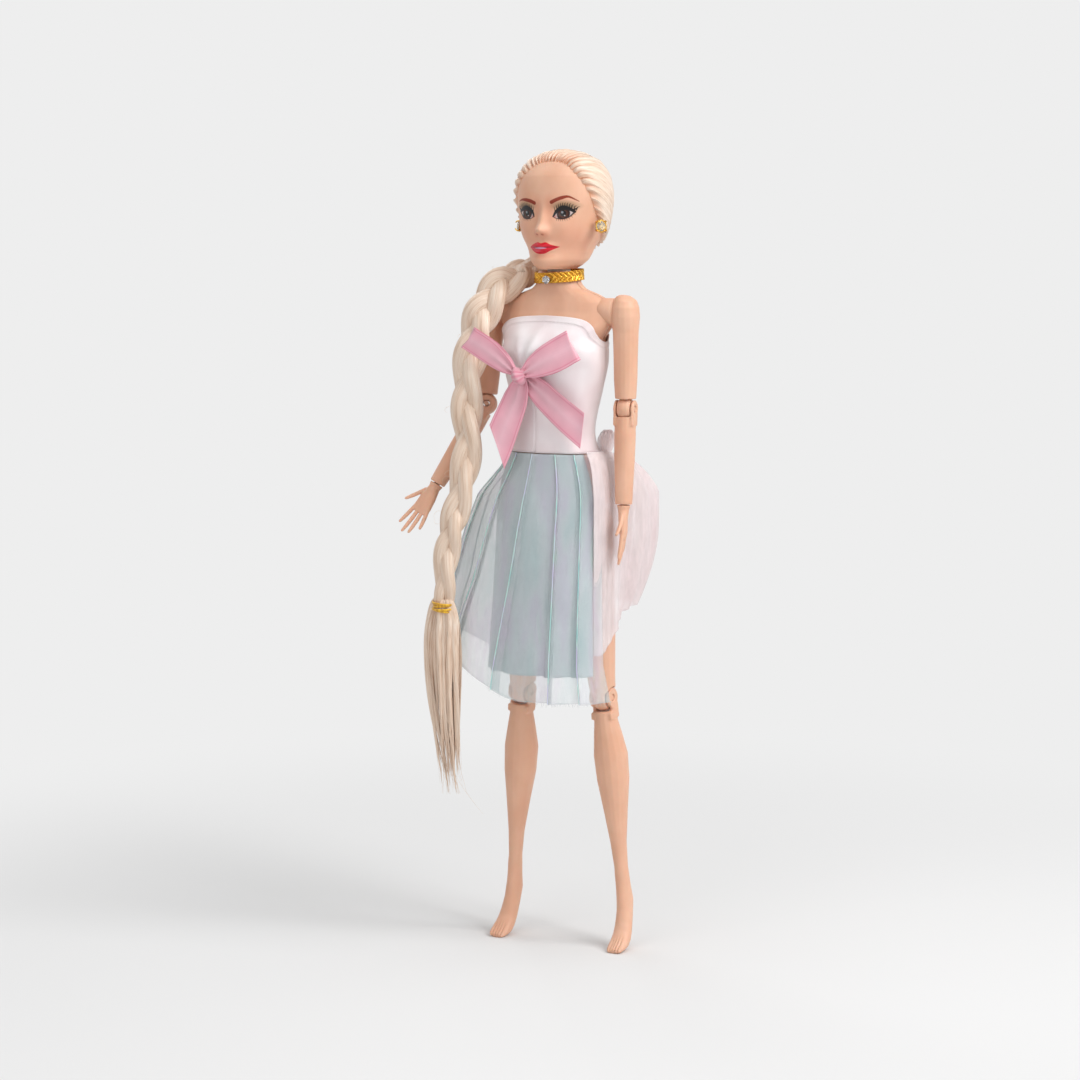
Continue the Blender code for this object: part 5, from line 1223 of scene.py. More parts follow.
locks = [tuft_lock("tuft_core", 0.0, 0.0, 0.80, CORE_LOCK, 0.3, 24, 50)]
for k in range(54):
    radius, angle = math.sqrt(loose.uniform(0.05, 1)), loose.uniform(0, math.tau)
    reach, half, wave = loose.uniform(0.72, 1.0), loose.uniform(0.7, 1.25) * MM, loose.uniform(0.2, 0.9)
    locks.append(tuft_lock(f"tuft_{k}", radius, angle, reach, half, wave))
for k in range(60):
    radius, angle = math.sqrt(loose.uniform(0.3, 1.3)), loose.uniform(0, math.tau)
    reach, wave = loose.uniform(0.8, 1.05), loose.uniform(0.6, 1.8)
    locks.append(tuft_lock(f"tuft_fine_{k}", radius, angle, reach, FINE_LOCK, wave, 5, 30))
tuft = join("loose_ends", locks)
finish_piece(tuft, fine_hair, "torso")
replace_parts(tuft, "hair_tuft")

# %% Stray hairs
STRAY_RADIUS = 0.045 * MM


def stray(name, points_mm):
    """One hair that has come loose, thinner towards its end."""
    places = [PLACE + along_route(points_mm, i / 39) * MM for i in range(40)]
    return tube(name, places, STRAY_RADIUS, 5, lambda v: 1 - 0.7 * v**4)


strays = []
frizz = random.Random(41)
for k in range(46):
    share = frizz.uniform(0.06, 0.94)
    start = (strand_place(share, k % 3) - PLACE) / MM
    away = Vector((frizz.choice((-1, 1)) * frizz.uniform(2.5, 4.6), frizz.uniform(-3.4, -1.5), frizz.uniform(-3, 3)))
    curl = Vector((frizz.uniform(-1.5, 1.5), frizz.uniform(-0.8, 0.4), frizz.uniform(-5, 2)))
    points = [start, start + away * 0.7, start + away + curl * 0.5, start + away * 0.9 + curl]
    strays.append(stray(f"stray_{k}", points))
strays.append(stray("stray_long", [(-31.5, -21, 66), (-27.5, -22, 61), (-23.0, -21, 55), (-20.5, -18, 50)]))
strays.append(stray("stray_loop", [(-38, -21, 122), (-42, -21, 119), (-42.5, -21, 114), (-39.0, -21.5, 112)]))
flyaways = join("stray_hairs", strays)
finish_piece(flyaways, fine_hair, "torso")

# %% [markdown]
# ## Jewellery
# The choker is a band woven of gold thread. Its herringbone is real relief on a grid that is bent round the neck. The
# pendant and the earrings are cut stones in small metal claws. A cylinder's top is extruded and drawn in, twice, to
# make the facets.

# %% Choker
TORSO_BOTTOM = 163 * MM
TORSO_HEIGHT = 83.4 * MM
SHOULDER_HALF = 21.5 * MM
CHEST_DEPTH = 16 * MM
# Height share of the torso, half width, front depth and back depth as shares, and the middle's shift backwards
TORSO_SHARES = [
    (0.00, 0.930, 0.69, 0.76, 0.03), (0.06, 0.967, 0.72, 0.79, 0.03), (0.13, 0.898, 0.70, 0.71, 0.00),
    (0.22, 0.772, 0.68, 0.57, -0.05), (0.30, 0.688, 0.66, 0.50, -0.06), (0.40, 0.707, 0.67, 0.55, -0.05),
    (0.49, 0.781, 0.73, 0.62, -0.03), (0.59, 0.865, 0.88, 0.67, 0.00), (0.66, 0.884, 0.97, 0.69, 0.00),
    (0.72, 0.870, 0.86, 0.68, 0.03), (0.78, 1.030, 0.62, 0.64, 0.07), (0.83, 1.060, 0.48, 0.57, 0.09),
    (0.87, 0.990, 0.42, 0.50, 0.10), (0.90, 0.760, 0.40, 0.46, 0.12), (0.925, 0.480, 0.42, 0.45, 0.13),
    (0.95, 0.375, 0.44, 0.44, 0.13), (1.00, 0.355, 0.45, 0.45, 0.13),
]


def body_point(turn, z, grow):
    """A place round the torso or neck. Turn 0 is the front, and a positive turn goes to the doll's left."""
    half, front, back, shift = between(TORSO_SHARES, (z - TORSO_BOTTOM) / TORSO_HEIGHT)
    side, ahead = math.sin(math.tau * turn), math.cos(math.tau * turn)
    x = (half * SHOULDER_HALF + grow) * squared_off(side)
    depth = (front if ahead > 0 else back) * CHEST_DEPTH + grow
    y = shift * CHEST_DEPTH - depth * squared_off(ahead)
    return PLACE + Vector((x, y, z))


CHOKER_BOTTOM = 242.4 * MM
CHOKER_HEIGHT = 3.8 * MM
CHOKER_OUT = 0.65 * MM
CHOKER_TILT = 0.7 * MM
CHOKER_TILT_TURN = 0.09
CHOKER_LIFT = 0.45 * MM
CHOKER_THICKNESS = 0.3 * MM
THREADS = 26


def choker_spot(u, v):
    """Herringbone between two rolled edges. The band sits lower in front than at the nape."""
    z = CHOKER_BOTTOM + CHOKER_HEIGHT * (1 - v)
    weft = math.tau * THREADS * u
    chevron = math.cos(weft + 6.5 * abs(v - 0.5) * 2) + 0.35 * math.cos(3 * weft + 19 * v)
    edge = math.exp(-((min(v, 1 - v) / 0.07) ** 2))
    relief = (0.20 * chevron * (1 - edge) + 0.16 * edge * (1 + 0.6 * math.cos(4 * weft))) * MM
    place = body_point(u, z, CHOKER_OUT + relief)
    place.z -= CHOKER_TILT * math.cos(math.tau * (u + CHOKER_TILT_TURN)) - CHOKER_LIFT
    return place


choker = formed_grid("woven_choker", 528, 18, choker_spot)
in_edit_mode(choker, turn_faces_out)
thicken(choker, CHOKER_THICKNESS, -1)
finish_piece(choker, gold_thread, "torso")
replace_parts(choker, "choker_band")

# %% Cut stones and their claws
def cut_stone(name, radius, depth):
    """A stone at the origin that looks along +Z, with a flat table and two rows of facets."""
    bpy.ops.object.select_all(action="DESELECT")
    bpy.ops.mesh.primitive_cylinder_add(vertices=12, radius=radius, depth=depth * 0.35, location=(0, 0, 0))
    obj = bpy.context.active_object
    obj.name = obj.data.name = name
    edit_faces(obj, lambda face: face.normal.z > 0.9)
    for rise, width in ((0.4, 0.78), (0.25, 0.62)):
        bpy.ops.mesh.extrude_region_move(TRANSFORM_OT_translate={"value": (0, 0, depth * rise)})
        bpy.ops.transform.resize(value=(width, width, 1))
    bpy.ops.object.mode_set(mode="OBJECT")
    return obj


# How far out and how high a claw lies along its length, as shares of the stone's radius and depth
CLAW_SHARES = [(0.80, -1.0), (1.06, -0.2), (1.08, 0.45), (0.72, 0.80)]


def claw_cup(name, radius, depth, prongs):
    """A small cup that widens along +Z, with prongs bent over the stone in it."""
    bpy.ops.object.select_all(action="DESELECT")
    bpy.ops.mesh.primitive_cone_add(vertices=24, radius1=radius * 0.55, radius2=radius * 1.08, depth=depth,
                                    location=(0, 0, -depth / 2))
    pieces = [bpy.context.active_object]
    for k in range(prongs):
        angle = math.tau * (k + 0.5) / prongs
        out = Vector((math.cos(angle), math.sin(angle), 0))
        points = [out * radius * wide + Vector((0, 0, depth * high)) for wide, high in CLAW_SHARES]
        places = [along_route(points, i / 11) for i in range(12)]
        prong = tube(f"{name}_{k}", places, radius * 0.16, 8, lambda v: 1 - 0.35 * v)
        pieces.append(in_edit_mode(prong, close_ends))
    return join(name, pieces)


def set_at(obj, place, towards):
    """Turns a piece's +Z to a direction and puts its place into its mesh."""
    obj.data.transform(Matrix.Translation(place) @ towards.to_track_quat("Z", "Y").to_matrix().to_4x4())
    obj.location = (0, 0, 0)
    return obj


def hold_stone(place, towards, radius, depth, metal, prongs, body, names):
    """A stone in its claws at a place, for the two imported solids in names. It looks towards a direction."""
    setting = set_at(claw_cup(names[0] + "_claws", radius, depth, prongs), place + towards * depth, towards)
    finish_piece(setting, metal, body, 50)
    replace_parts(setting, names[0])
    gem = set_at(cut_stone(names[1] + "_cut", radius * 0.92, depth), place + towards * depth * 1.15, towards)
    finish_piece(gem, stone, body, 8)
    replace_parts(gem, names[1])


# Turn round the head, and how far the stud stands out in mm
EAR_PLACES = {"left": (0.222, 1.0), "right": (-0.236, 0.5)}
EAR_HEIGHT_SHARE = 0.365
EARRING_RADIUS = 2.2 * MM
EARRING_DEPTH = 1.6 * MM
PENDANT_RADIUS = 1.3 * MM
PENDANT_DEPTH = 0.95 * MM
PENDANT_OUT = 0.25 * MM
for side, way in SIDES:
    stud_turn, stands_out = EAR_PLACES[side]
    ear = PLACE + head_point(stud_turn, EAR_HEIGHT_SHARE) + Vector((stands_out, 0, 0)) * MM
    hold_stone(ear, Vector((way, -0.55, 0.1)).normalized(), EARRING_RADIUS, EARRING_DEPTH, gilt, 4, "head",
               (f"{side}_earring_mount", f"{side}_earring_stone"))
setting_low, setting_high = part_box("choker_setting")
setting_middle = (setting_low + setting_high) / 2
pendant = Vector((setting_middle.x, setting_high.y - PENDANT_OUT, setting_middle.z))
hold_stone(pendant, Vector((0, -1, 0)), PENDANT_RADIUS, PENDANT_DEPTH, silver, 6, "torso",
           ("choker_setting", "choker_stone"))

# %% [markdown]
# ## Satin top
# The top is a strapless tube of white satin, sewn into a folded hem at its upper edge and overcast along its lower
# one. It follows the body closely, so it is a grid bent round the torso's own levels. The bow pulls on the cloth, and
# that raises a peak above the knot and short folds round it, which are added as soft waves before the cloth gets its
# thickness. The stitches are separate threads.

# %% The top
BODICE_BOTTOM = TORSO_BOTTOM + TORSO_HEIGHT * 0.23
BODICE_FRONT = TORSO_BOTTOM + TORSO_HEIGHT * 0.815
NECKLINE_SHARES = [(0.0, 1.0), (0.10, 0.97), (0.19, 0.86), (0.25, 0.81), (0.32, 0.86), (0.50, 0.90)]
CLOTH_OUT = 0.85 * MM
SATIN_THICKNESS = 0.30 * MM
LEAST_OUT = -0.25 * MM
HEM_RISE = 0.24 * MM
HEM_STEP = 0.12 * MM
LOW_FOLD_REACH = 6 * MM
SEAM_TURN = -0.018
SEAM_WIDTH = 0.0035
KNOT = PLACE + Vector((-4.8 * MM, -19.2 * MM, TORSO_BOTTOM + TORSO_HEIGHT * 0.561))
# Angle of a fold round the knot in degrees from the doll's left, its length in mm and its height in mm
KNOT_FOLDS = [(72, 17, 1.5), (104, 13, 1.1), (48, 13, 0.6), (160, 9, 0.35), (255, 15, 0.5), (285, 13, 0.45),
              (330, 12, 0.35)]
BAND = 2.3 * MM


def top_edge(turn):
    (reach,) = between(NECKLINE_SHARES, min(turn % 1, 1 - turn % 1))
    return BODICE_BOTTOM + (BODICE_FRONT - BODICE_BOTTOM) * reach


def knot_pull(place):
    """How far the cloth stands out at a place because the knot pulls on it."""
    x, z = (place.x - KNOT.x) / MM, (place.z - KNOT.z) / MM
    if place.y > PLACE.y:
        return 0.0
    away, angle = math.hypot(x, z), math.atan2(z, x)
    total = 0.0
    for degrees, length, height in KNOT_FOLDS:
        turn = (angle - math.radians(degrees) + math.pi) % math.tau - math.pi
        width = 0.13 + 0.4 / (1 + away)
        total += height * math.exp(-((turn / width) ** 2)) * math.exp(-((away / length) ** 2)) * min(1, away / 3)
    return total * MM


def top_spot(u, v):
    """The cloth follows the body, with a folded hem above, slow folds, a seam down the front and the knot's pull."""
    high = top_edge(u)
    z = high + (BODICE_BOTTOM - high) * v
    place = body_point(u, z, CLOTH_OUT)
    band = HEM_RISE / (1 + math.exp((high - z - BAND) / HEM_STEP))
    wander = 0.16 * math.sin(math.tau * (3 * u + 0.02 * (z / MM)) + 1.3)
    wander += 0.12 * math.sin(math.tau * 7 * u + z / MM * 0.35)
    low_fold = 0.28 * math.cos(math.tau * 9 * u) * math.exp(-((z - BODICE_BOTTOM) / LOW_FOLD_REACH) ** 2)
    beside_seam = (u + 0.5) % 1 - 0.5 - SEAM_TURN
    seam = -0.35 * math.exp(-((beside_seam / SEAM_WIDTH) ** 2)) * (1 if z < KNOT.z else 0)
    out = (wander + low_fold + seam) * MM + band + knot_pull(place)
    return body_point(u, z, CLOTH_OUT + max(out, LEAST_OUT))


top = formed_grid("satin_top", 400, 116, top_spot)
thicken(top, SATIN_THICKNESS, -1)
finish_piece(top, white_satin, "torso")
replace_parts(top, "bodice")

# %% Stitches
def stitches(name, places, outs, length, radius, slant):
    """Short threads along a row of places, each a little slanted and bowed away from the cloth."""
    threads = []
    for k in range(len(places) - 1):
        run = places[k + 1] - places[k]
        gap = (1 - length) / 2
        tilt = Vector((0, 0, slant))
        start, end = places[k] + run * gap - tilt, places[k + 1] - run * gap + tilt
        out = outs[k]
        middle = (start + end) / 2 + out * radius * 0.8
        points = [start - out * radius, (start + middle) / 2 + out * radius * 0.4, middle,
                  (end + middle) / 2 + out * radius * 0.4, end - out * radius]
        threads.append(tube(f"{name}_{k}", points, radius, 5))
    return join(name, threads)


def row_round(count, height, lift):
    """Places round the top at a height rule, with the direction away from the body at each."""
    places, outs = [], []
    for k in range(count + 1):
        turn = k / count
        z = height(turn)
        out = (body_point(turn, z, CLOTH_OUT + MM) - body_point(turn, z, CLOTH_OUT)).normalized()
        places.append(top_spot(turn % 1, (top_edge(turn) - z) / (top_edge(turn) - BODICE_BOTTOM)) + out * lift)
        outs.append(out)
    return places, outs


# Stitches round the top and their height rule, then lift, share of each step that shows, radius and slant in mm
SEAMS = (
    ("upper_hem_stitches", 104, lambda turn: top_edge(turn) - BAND * 0.86, 0.05, 0.72, 0.085, 0.0),
    ("lower_edge_stitches", 128, lambda turn: BODICE_BOTTOM + 0.5 * MM, 0.04, 0.55, 0.10, 0.36),
)
for name, stitch_count, height, lift, length, radius, slant in SEAMS:
    places, outs = row_round(stitch_count, height, lift * MM)
    seam = stitches(name, places, outs, length, radius * MM, slant * MM)
    finish_piece(seam, white_satin, "torso")

# %% Hook tape down the back
TAPE_OUT = 1.75 * MM
TAPE_HALF_TURN = 0.025
TAPE_MARGIN = 0.1 * MM
TAPE_THICKNESS = 0.45 * MM
HOOKS = 8


def tape_spot(u, v):
    turn = 0.5 + (u - 0.5) * 2 * TAPE_HALF_TURN
    high = top_edge(0.5) - TAPE_MARGIN
    z = high + (BODICE_BOTTOM + TAPE_MARGIN - high) * v
    hooks = 0.12 * max(0.0, math.cos(math.tau * HOOKS * v)) * math.exp(-(((u - 0.5) / 0.22) ** 2))
    return body_point(turn, z, TAPE_OUT + hooks * MM)


closure = formed_grid("hook_tape_strip", 16, 120, tape_spot)
thicken(closure, TAPE_THICKNESS)
finish_piece(closure, tape, "torso", 60)
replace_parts(closure, "bodice_closure")

# %% [markdown]
# ## Bow
# The bow is tied from one pink ribbon: two flat loops, a knot, and two long tails. A loop is a strip that runs out and
# folds back under itself, so its grid goes there and back. Near the knot the ribbon is pinched into folds.

# %% Ribbon strips
RIBBON_WIDTH = 10.6 * MM
PINCH_SHARES = [(0, 0.30), (0.2, 0.66), (0.45, 0.90), (0.7, 1.0), (1, 1.0)]
TAIL_PINCH_SHARES = [(0, 0.30), (0.15, 0.70), (0.35, 0.95), (0.7, 1.0), (1, 1.0)]
RIBBON_THICKNESS = 0.16 * MM
LOOP_LENGTH = 20.6 * MM
LOOP_START = 2.0 * MM
LOOP_PUFF = 0.8 * MM
LOOP_PINCH = 0.7 * MM
LOOP_SKEW = 0.9 * MM
LOOP_CURL = 0.35 * MM
LOOP_SWAY = 0.5 * MM
TAIL_LENGTH = 29.6 * MM
TAIL_PINCH = 0.8 * MM
TAIL_SWAY = 0.45 * MM
BEHIND = 2.9 * MM


def ribbon_frame(angle):
    """The directions along and across a ribbon that runs at an angle in degrees from the doll's left."""
    turn = math.radians(angle)
    return Vector((math.cos(turn), 0, math.sin(turn))), Vector((-math.sin(turn), 0, math.cos(turn)))


def pinch_folds(s, place, height):
    """Folds across the ribbon where the knot gathers it."""
    return height * math.cos(2.5 * math.pi * s) * math.exp(-place / 0.22)


def ribbon_loop(name, angle, width, back):
    """A flat loop: the strip runs out in front and comes back behind itself. Back is how far its end leans back."""
    along, across = ribbon_frame(angle)
    start = KNOT + along * LOOP_START

    def spot(u, v):
        s = 2 * u - 1
        place = 1 - abs(2 * v - 1)
        outward = v < 0.5
        (wide,) = between(PINCH_SHARES, place)
        layer = (0.35 + 0.5 * math.sin(math.pi * min(1, place * 1.02))) * LOOP_PUFF
        end = max(0.0, (place - 0.965) / 0.035)
        layer *= math.sqrt(max(0.0, 1 - end**2))
        skew = LOOP_SKEW * (s if outward else -s * 0.6) * place**3
        y = back * place**2 - (layer if outward else -layer) - pinch_folds(s, place, LOOP_PINCH)
        curl = LOOP_CURL * s * s * math.sin(math.pi * place)
        sway = LOOP_SWAY * math.sin(2.4 * math.pi * place + (0 if outward else 1.2)) * place
        sideways = across * (width / 2 * wide * s + 0.25 * sway)
        return start + along * (LOOP_LENGTH * place + skew) + sideways + Vector((0, y + curl - 0.3 * sway, 0))

    return thicken(formed_grid(name, 44, 150, spot), RIBBON_THICKNESS)


def ribbon_tail(name, angle, length, back, skew, behind, fold=0.0):
    """A hanging end of the ribbon. Skew slants its cut end, and fold rolls one edge."""
    along, across = ribbon_frame(angle)
    start = KNOT + Vector((0, behind, 0))

    def spot(u, v):
        s = 2 * u - 1
        (wide,) = between(TAIL_PINCH_SHARES, v)
        y = back * v**2 - pinch_folds(s, v, TAIL_PINCH) + TAIL_SWAY * math.sin(2.6 * math.pi * v + s) * v
        folded = fold * max(0.0, s) ** 2 * math.sin(math.pi * v)
        outwards = along * (length * v + length * skew * s * v**2)
        return start + outwards + across * (RIBBON_WIDTH / 2 * wide * s - folded * 0.5) + Vector((0, y - folded, 0))

    return thicken(formed_grid(name, 44, 130, spot), RIBBON_THICKNESS)


# %% Loops, tails and knot
left_loop = ribbon_loop("left_loop", 29, RIBBON_WIDTH * 1.08, 3.2 * MM)
right_loop = ribbon_loop("right_loop", 144, RIBBON_WIDTH * 0.84, -3.4 * MM)
left_tail = ribbon_tail("left_tail", -41, TAIL_LENGTH * 0.98, 2.4 * MM, -0.12, BEHIND + 0.8 * MM, 0.6 * MM)
right_tail = ribbon_tail("right_tail", -108, TAIL_LENGTH * 0.9, -4.6 * MM, 0.24, BEHIND)
for strip in (left_loop, right_loop, left_tail, right_tail):
    finish_piece(strip, pink_ribbon, "torso")
    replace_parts(strip, "bow_" + strip.name)

KNOT_RADIUS = 3.1 * MM
KNOT_HALF = 2.6 * MM
KNOT_LEAN = math.radians(-14)


def knot_spot(u, v):
    """The knot: a band of ribbon wound round the middle, with three soft folds along it."""
    around, along = math.tau * u, (v - 0.5) * math.pi
    swell = max(0.0, math.cos(along)) ** 0.55 if 0 < v < 1 else 0.0
    fold = 1 + 0.15 * math.cos(3 * along + 0.8 * math.sin(around)) * swell + 0.06 * math.cos(2 * around + 2 * along)
    ring = KNOT_RADIUS * swell * fold
    local = Vector((KNOT_HALF * math.sin(along), -math.cos(around) * ring * 0.86, math.sin(around) * ring))
    return KNOT + Matrix.Rotation(KNOT_LEAN, 3, "Y") @ local


knot = formed_grid("ribbon_knot", 72, 48, knot_spot)
finish_piece(knot, pink_ribbon, "torso")
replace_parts(knot, "bow_knot")

# %% [markdown]
# ## Skirts
# Two layers wrap round the front and the right: a short blue-grey satin lining, and over it a longer sheer skirt laid
# in knife pleats. A knife pleat is cloth folded back under the next panel, so each panel here starts high on its piped
# edge, slopes down, and ends tucked under its neighbour. Each layer is made in two halves that part under one front
# pleat, one half over each thigh.

# %% Shape of the skirts
SKIRT_TOP = BODICE_BOTTOM - 0.3 * MM
SKIRT_HALF = 25 * MM
SKIRT_DEPTH = 22 * MM
SKIRT_LENGTH = 88 * MM
LINING_SHARE = 0.895
RISE_SHARE = 0.25
FLARE = 24 * MM
LEFT_FLARE = 3 * MM
# Drop share, half width share, front depth share, back depth share
SKIRT_SHARES = [
    (0.00, 0.672, 0.550, 0.390), (0.045, 0.735, 0.562, 0.458), (0.09, 0.796, 0.576, 0.540),
    (0.135, 0.845, 0.590, 0.606), (0.19, 0.880, 0.622, 0.634), (0.30, 0.900, 0.686, 0.686),
    (0.48, 0.915, 0.765, 0.740), (0.70, 0.945, 0.866, 0.802), (0.90, 0.980, 0.955, 0.852), (1.00, 1.000, 1.000, 0.880),
]
FLARE_SHARES = [(0, 0), (0.045, 0.02), (0.09, 0.09), (0.19, 0.33), (0.36, 0.56), (0.53, 0.73), (0.65, 0.90),
                (0.75, 1), (1, 1.1)]


def skirt_point(turn, drop_share, grow):
    wide, front, back = between(SKIRT_SHARES, drop_share)
    side, ahead = squared_off(math.sin(math.tau * turn)), squared_off(math.cos(math.tau * turn))
    x = (wide * SKIRT_HALF + grow) * side
    y = -((front if ahead > 0 else back) * SKIRT_DEPTH + grow) * ahead
    return PLACE + Vector((x, y, SKIRT_TOP - drop_share * SKIRT_LENGTH))


def overlay_point(turn, row_share, grow):
    """A place on the sheer skirt, which flares out at the doll's right and whose hem rises there."""
    right = max(0.0, -math.sin(math.tau * turn)) ** 2
    left = max(0.0, math.sin(math.tau * turn)) ** 2
    share = row_share * (1 - RISE_SHARE * right)
    point = skirt_point(turn, share, grow)
    (out,) = between(FLARE_SHARES, share)
    point.x += LEFT_FLARE * left * max(0.0, share - 0.85) / 0.15 - FLARE * out * right
    return point


# %% Pleated cloth
LINING_WAIST = (-0.470, -0.410, -0.350, -0.290, -0.230, -0.165, -0.100, -0.030, 0.045, 0.105, 0.160)
LINING_HEM = (-0.470, -0.412, -0.352, -0.296, -0.240, -0.185, -0.130, -0.068, 0.035, 0.100, 0.160)
OVERLAY_WAIST = (-0.420, -0.355, -0.290, -0.222, -0.155, -0.089, -0.020, 0.050, 0.115, 0.188)
OVERLAY_HEM = (-0.420, -0.362, -0.305, -0.250, -0.195, -0.138, -0.062, 0.046, 0.110, 0.188)
TUCK_SHARE = 0.13
HEM_WAVER = 0.45 * MM


def pleat_turn(waist, hem, k, drop):
    """Where the edge of a pleat lies round the skirt. Most of its way to the hem's place is made near the waist."""
    return waist[k] + (hem[k] - waist[k]) * min(1.0, drop * 1.1) ** 0.8


def pleat_rise(drop):
    """How high the open edge of a pleat stands, as a share of its depth at the hem."""
    return 0.28 + 0.72 * drop


def pleated(name, point, waist, hem, first, last, base, depth, per_panel, rows, sag_depth):
    """Knife pleats from panel first to last. Point gives a place on the skirt, base how far the cloth stands off."""
    panels = last - first

    def spot(u, v):
        s = u * panels
        k = min(int(s + 1e-9), panels - 1)
        q = min(1.0, s - k)
        left_edge = pleat_turn(waist, hem, first + k, v)
        right_edge = pleat_turn(waist, hem, first + k + 1, v)
        reach = 1.0 if first + k == len(waist) - 2 else 1 + TUCK_SHARE
        turn = left_edge + (right_edge - left_edge) * q * reach
        height = depth * pleat_rise(v) * (1 - q) ** 1.15
        sag = sag_depth * math.sin(math.pi * q) * math.sin(2.2 * math.pi * v + 1.7 * (first + k)) * v
        edge = HEM_WAVER * math.sin(9 * math.tau * turn + 2 * k) * max(0.0, v - 0.9) * 10
        place = point(turn, v, base + height + sag)
        place.z += edge * 0.5
        return place

    return formed_grid(name, panels * per_panel, rows, spot)


def as_cloth(piece, thickness, finish):
    """Thickens a sheet, gives it its finish and bakes its place into its mesh."""
    thicken(piece, thickness)
    finish_piece(piece, finish, None)
    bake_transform(piece)
    return piece


# %% Lining
def lining_point(turn, drop, grow):
    return skirt_point(turn, drop * LINING_SHARE, grow)


SPLIT_LINING = 7
LINING_BASE = 0.1 * MM
LINING_PLEAT = 0.55 * MM
LINING_SAG = 0.15 * MM
LINING_THICKNESS = 0.16 * MM
for name, first, last, thigh in (("lining_right", 0, SPLIT_LINING, "right_thigh"),
                                 ("lining_left", SPLIT_LINING, len(LINING_WAIST) - 1, "left_thigh")):
    piece = pleated(name, lining_point, LINING_WAIST, LINING_HEM, first, last, LINING_BASE, LINING_PLEAT, 16, 100,
                    LINING_SAG)
    as_cloth(piece, LINING_THICKNESS, blue_satin)
    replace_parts(piece, "skirt_lining")

# %% Sheer skirt, piping and threads
SPLIT_OVERLAY = 6
OVERLAY_BASE = 1.0 * MM
OVERLAY_PLEAT = 1.25 * MM
OVERLAY_SAG = 0.30 * MM
OVERLAY_THICKNESS = 0.10 * MM
FRAY_LIFT = 0.60 * MM
HEM_LIFT = 0.55 * MM
PIPE_LIFT = 0.06 * MM
PIPE_RADIUS = 0.21 * MM
HEM_CORD_RADIUS = 0.10 * MM
FRAY_RADIUS = 0.035 * MM
FRAYS_PER_TURN = 430
threads = random.Random(5)


def pipe(name, k):
    """The piping along the open edge of pleat k."""
    places = []
    for i in range(64):
        v = i / 63
        turn = pleat_turn(OVERLAY_WAIST, OVERLAY_HEM, k, v)
        places.append(overlay_point(turn, v, OVERLAY_BASE + OVERLAY_PLEAT * pleat_rise(v) + PIPE_LIFT))
    return tube(name, places, PIPE_RADIUS, 8)


def hem_threads(name, first, last):
    """Loose ends of the weave along the hem."""
    made = []
    low, high = OVERLAY_HEM[first], OVERLAY_HEM[last]
    for k in range(int(FRAYS_PER_TURN * (high - low))):
        turn = low + (high - low) * threads.random()
        start = overlay_point(turn, 0.995, OVERLAY_BASE + FRAY_LIFT)
        out = Vector((threads.uniform(-0.8, 0.8), threads.uniform(-0.5, 0.5), -threads.uniform(0.5, 1.9))) * MM
        bent = Vector((threads.uniform(-0.4, 0.4), threads.uniform(-0.4, 0.4), 0)) * MM
        made.append(tube(f"{name}_{k}", [start, start + out * 0.5 + bent, start + out], FRAY_RADIUS, 3))
    return join(name, made)


for side, first, last in (("right", 0, SPLIT_OVERLAY), ("left", SPLIT_OVERLAY, len(OVERLAY_WAIST) - 1)):
    thigh = f"{side}_thigh"
    piece = pleated(f"sheer_skirt_{side}", overlay_point, OVERLAY_WAIST, OVERLAY_HEM, first, last, OVERLAY_BASE,
                    OVERLAY_PLEAT, 18, 120, OVERLAY_SAG)
    pipes = join(f"piping_{side}", [pipe(f"pipe_{side}_{k}", k) for k in range(first, last)])
    frays = hem_threads(f"frayed_hem_{side}", first, last)
    hem_span = OVERLAY_HEM[last] - OVERLAY_HEM[first]
    hem_places = [overlay_point(OVERLAY_HEM[first] + hem_span * i / 119, 0.996, OVERLAY_BASE + HEM_LIFT)
                  for i in range(120)]
    hem = tube(f"hem_cord_{side}", hem_places, HEM_CORD_RADIUS, 5)
    for extra, finish in ((pipes, piping), (frays, sheer_hem), (hem, sheer_hem)):
        finish_piece(extra, finish, None)
        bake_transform(extra)
    as_cloth(piece, OVERLAY_THICKNESS, sheer_film)
    if side == "right":
        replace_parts(piece, "skirt_flare", "skirt_overlay")
    else:
        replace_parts(piece, "skirt_overlay")

# %% [markdown]
# ## Train
# Pale pink organza is gathered into a pouf at the left and the back, with an overcast edge and a small loop that
# stands up at the waist. It hangs from the waist only, so it moves with the torso.

# %% The pouf
TRAIN_TOP = SKIRT_TOP + 0.9 * MM
TRAIN_REACH = 34 * MM
TRAIN_LENGTH = 57 * MM
TRAIN_OFFSET = 2.2 * MM
TRAIN_FOLDS = 26
ORGANZA_THICKNESS = 0.12 * MM
EDGE_RADIUS = 0.20 * MM
LOOSE_TURN = 0.27
# Turn, then the side and back shares of the reach at the fullest height, then the share of the length that hangs there
TRAIN_PLAN_SHARES = [
    (0.160, 0.600, -0.300, 1.27), (0.178, 0.650, -0.225, 1.27), (0.205, 0.668, -0.132, 1.23),
    (0.235, 0.661, -0.015, 1.19), (0.265, 0.662, 0.115, 1.14), (0.295, 0.705, 0.235, 1.09),
    (0.325, 0.800, 0.340, 1.04), (0.355, 0.850, 0.490, 1.01), (0.385, 0.850, 0.640, 1.00),
    (0.415, 0.775, 0.785, 1.00), (0.445, 0.645, 0.885, 1.00), (0.475, 0.470, 0.950, 1.00),
    (0.505, 0.280, 0.970, 1.00), (0.535, 0.090, 0.970, 1.00), (0.565, -0.100, 0.940, 1.00),
    (0.595, -0.280, 0.870, 1.00), (0.625, -0.425, 0.820, 1.00),
]
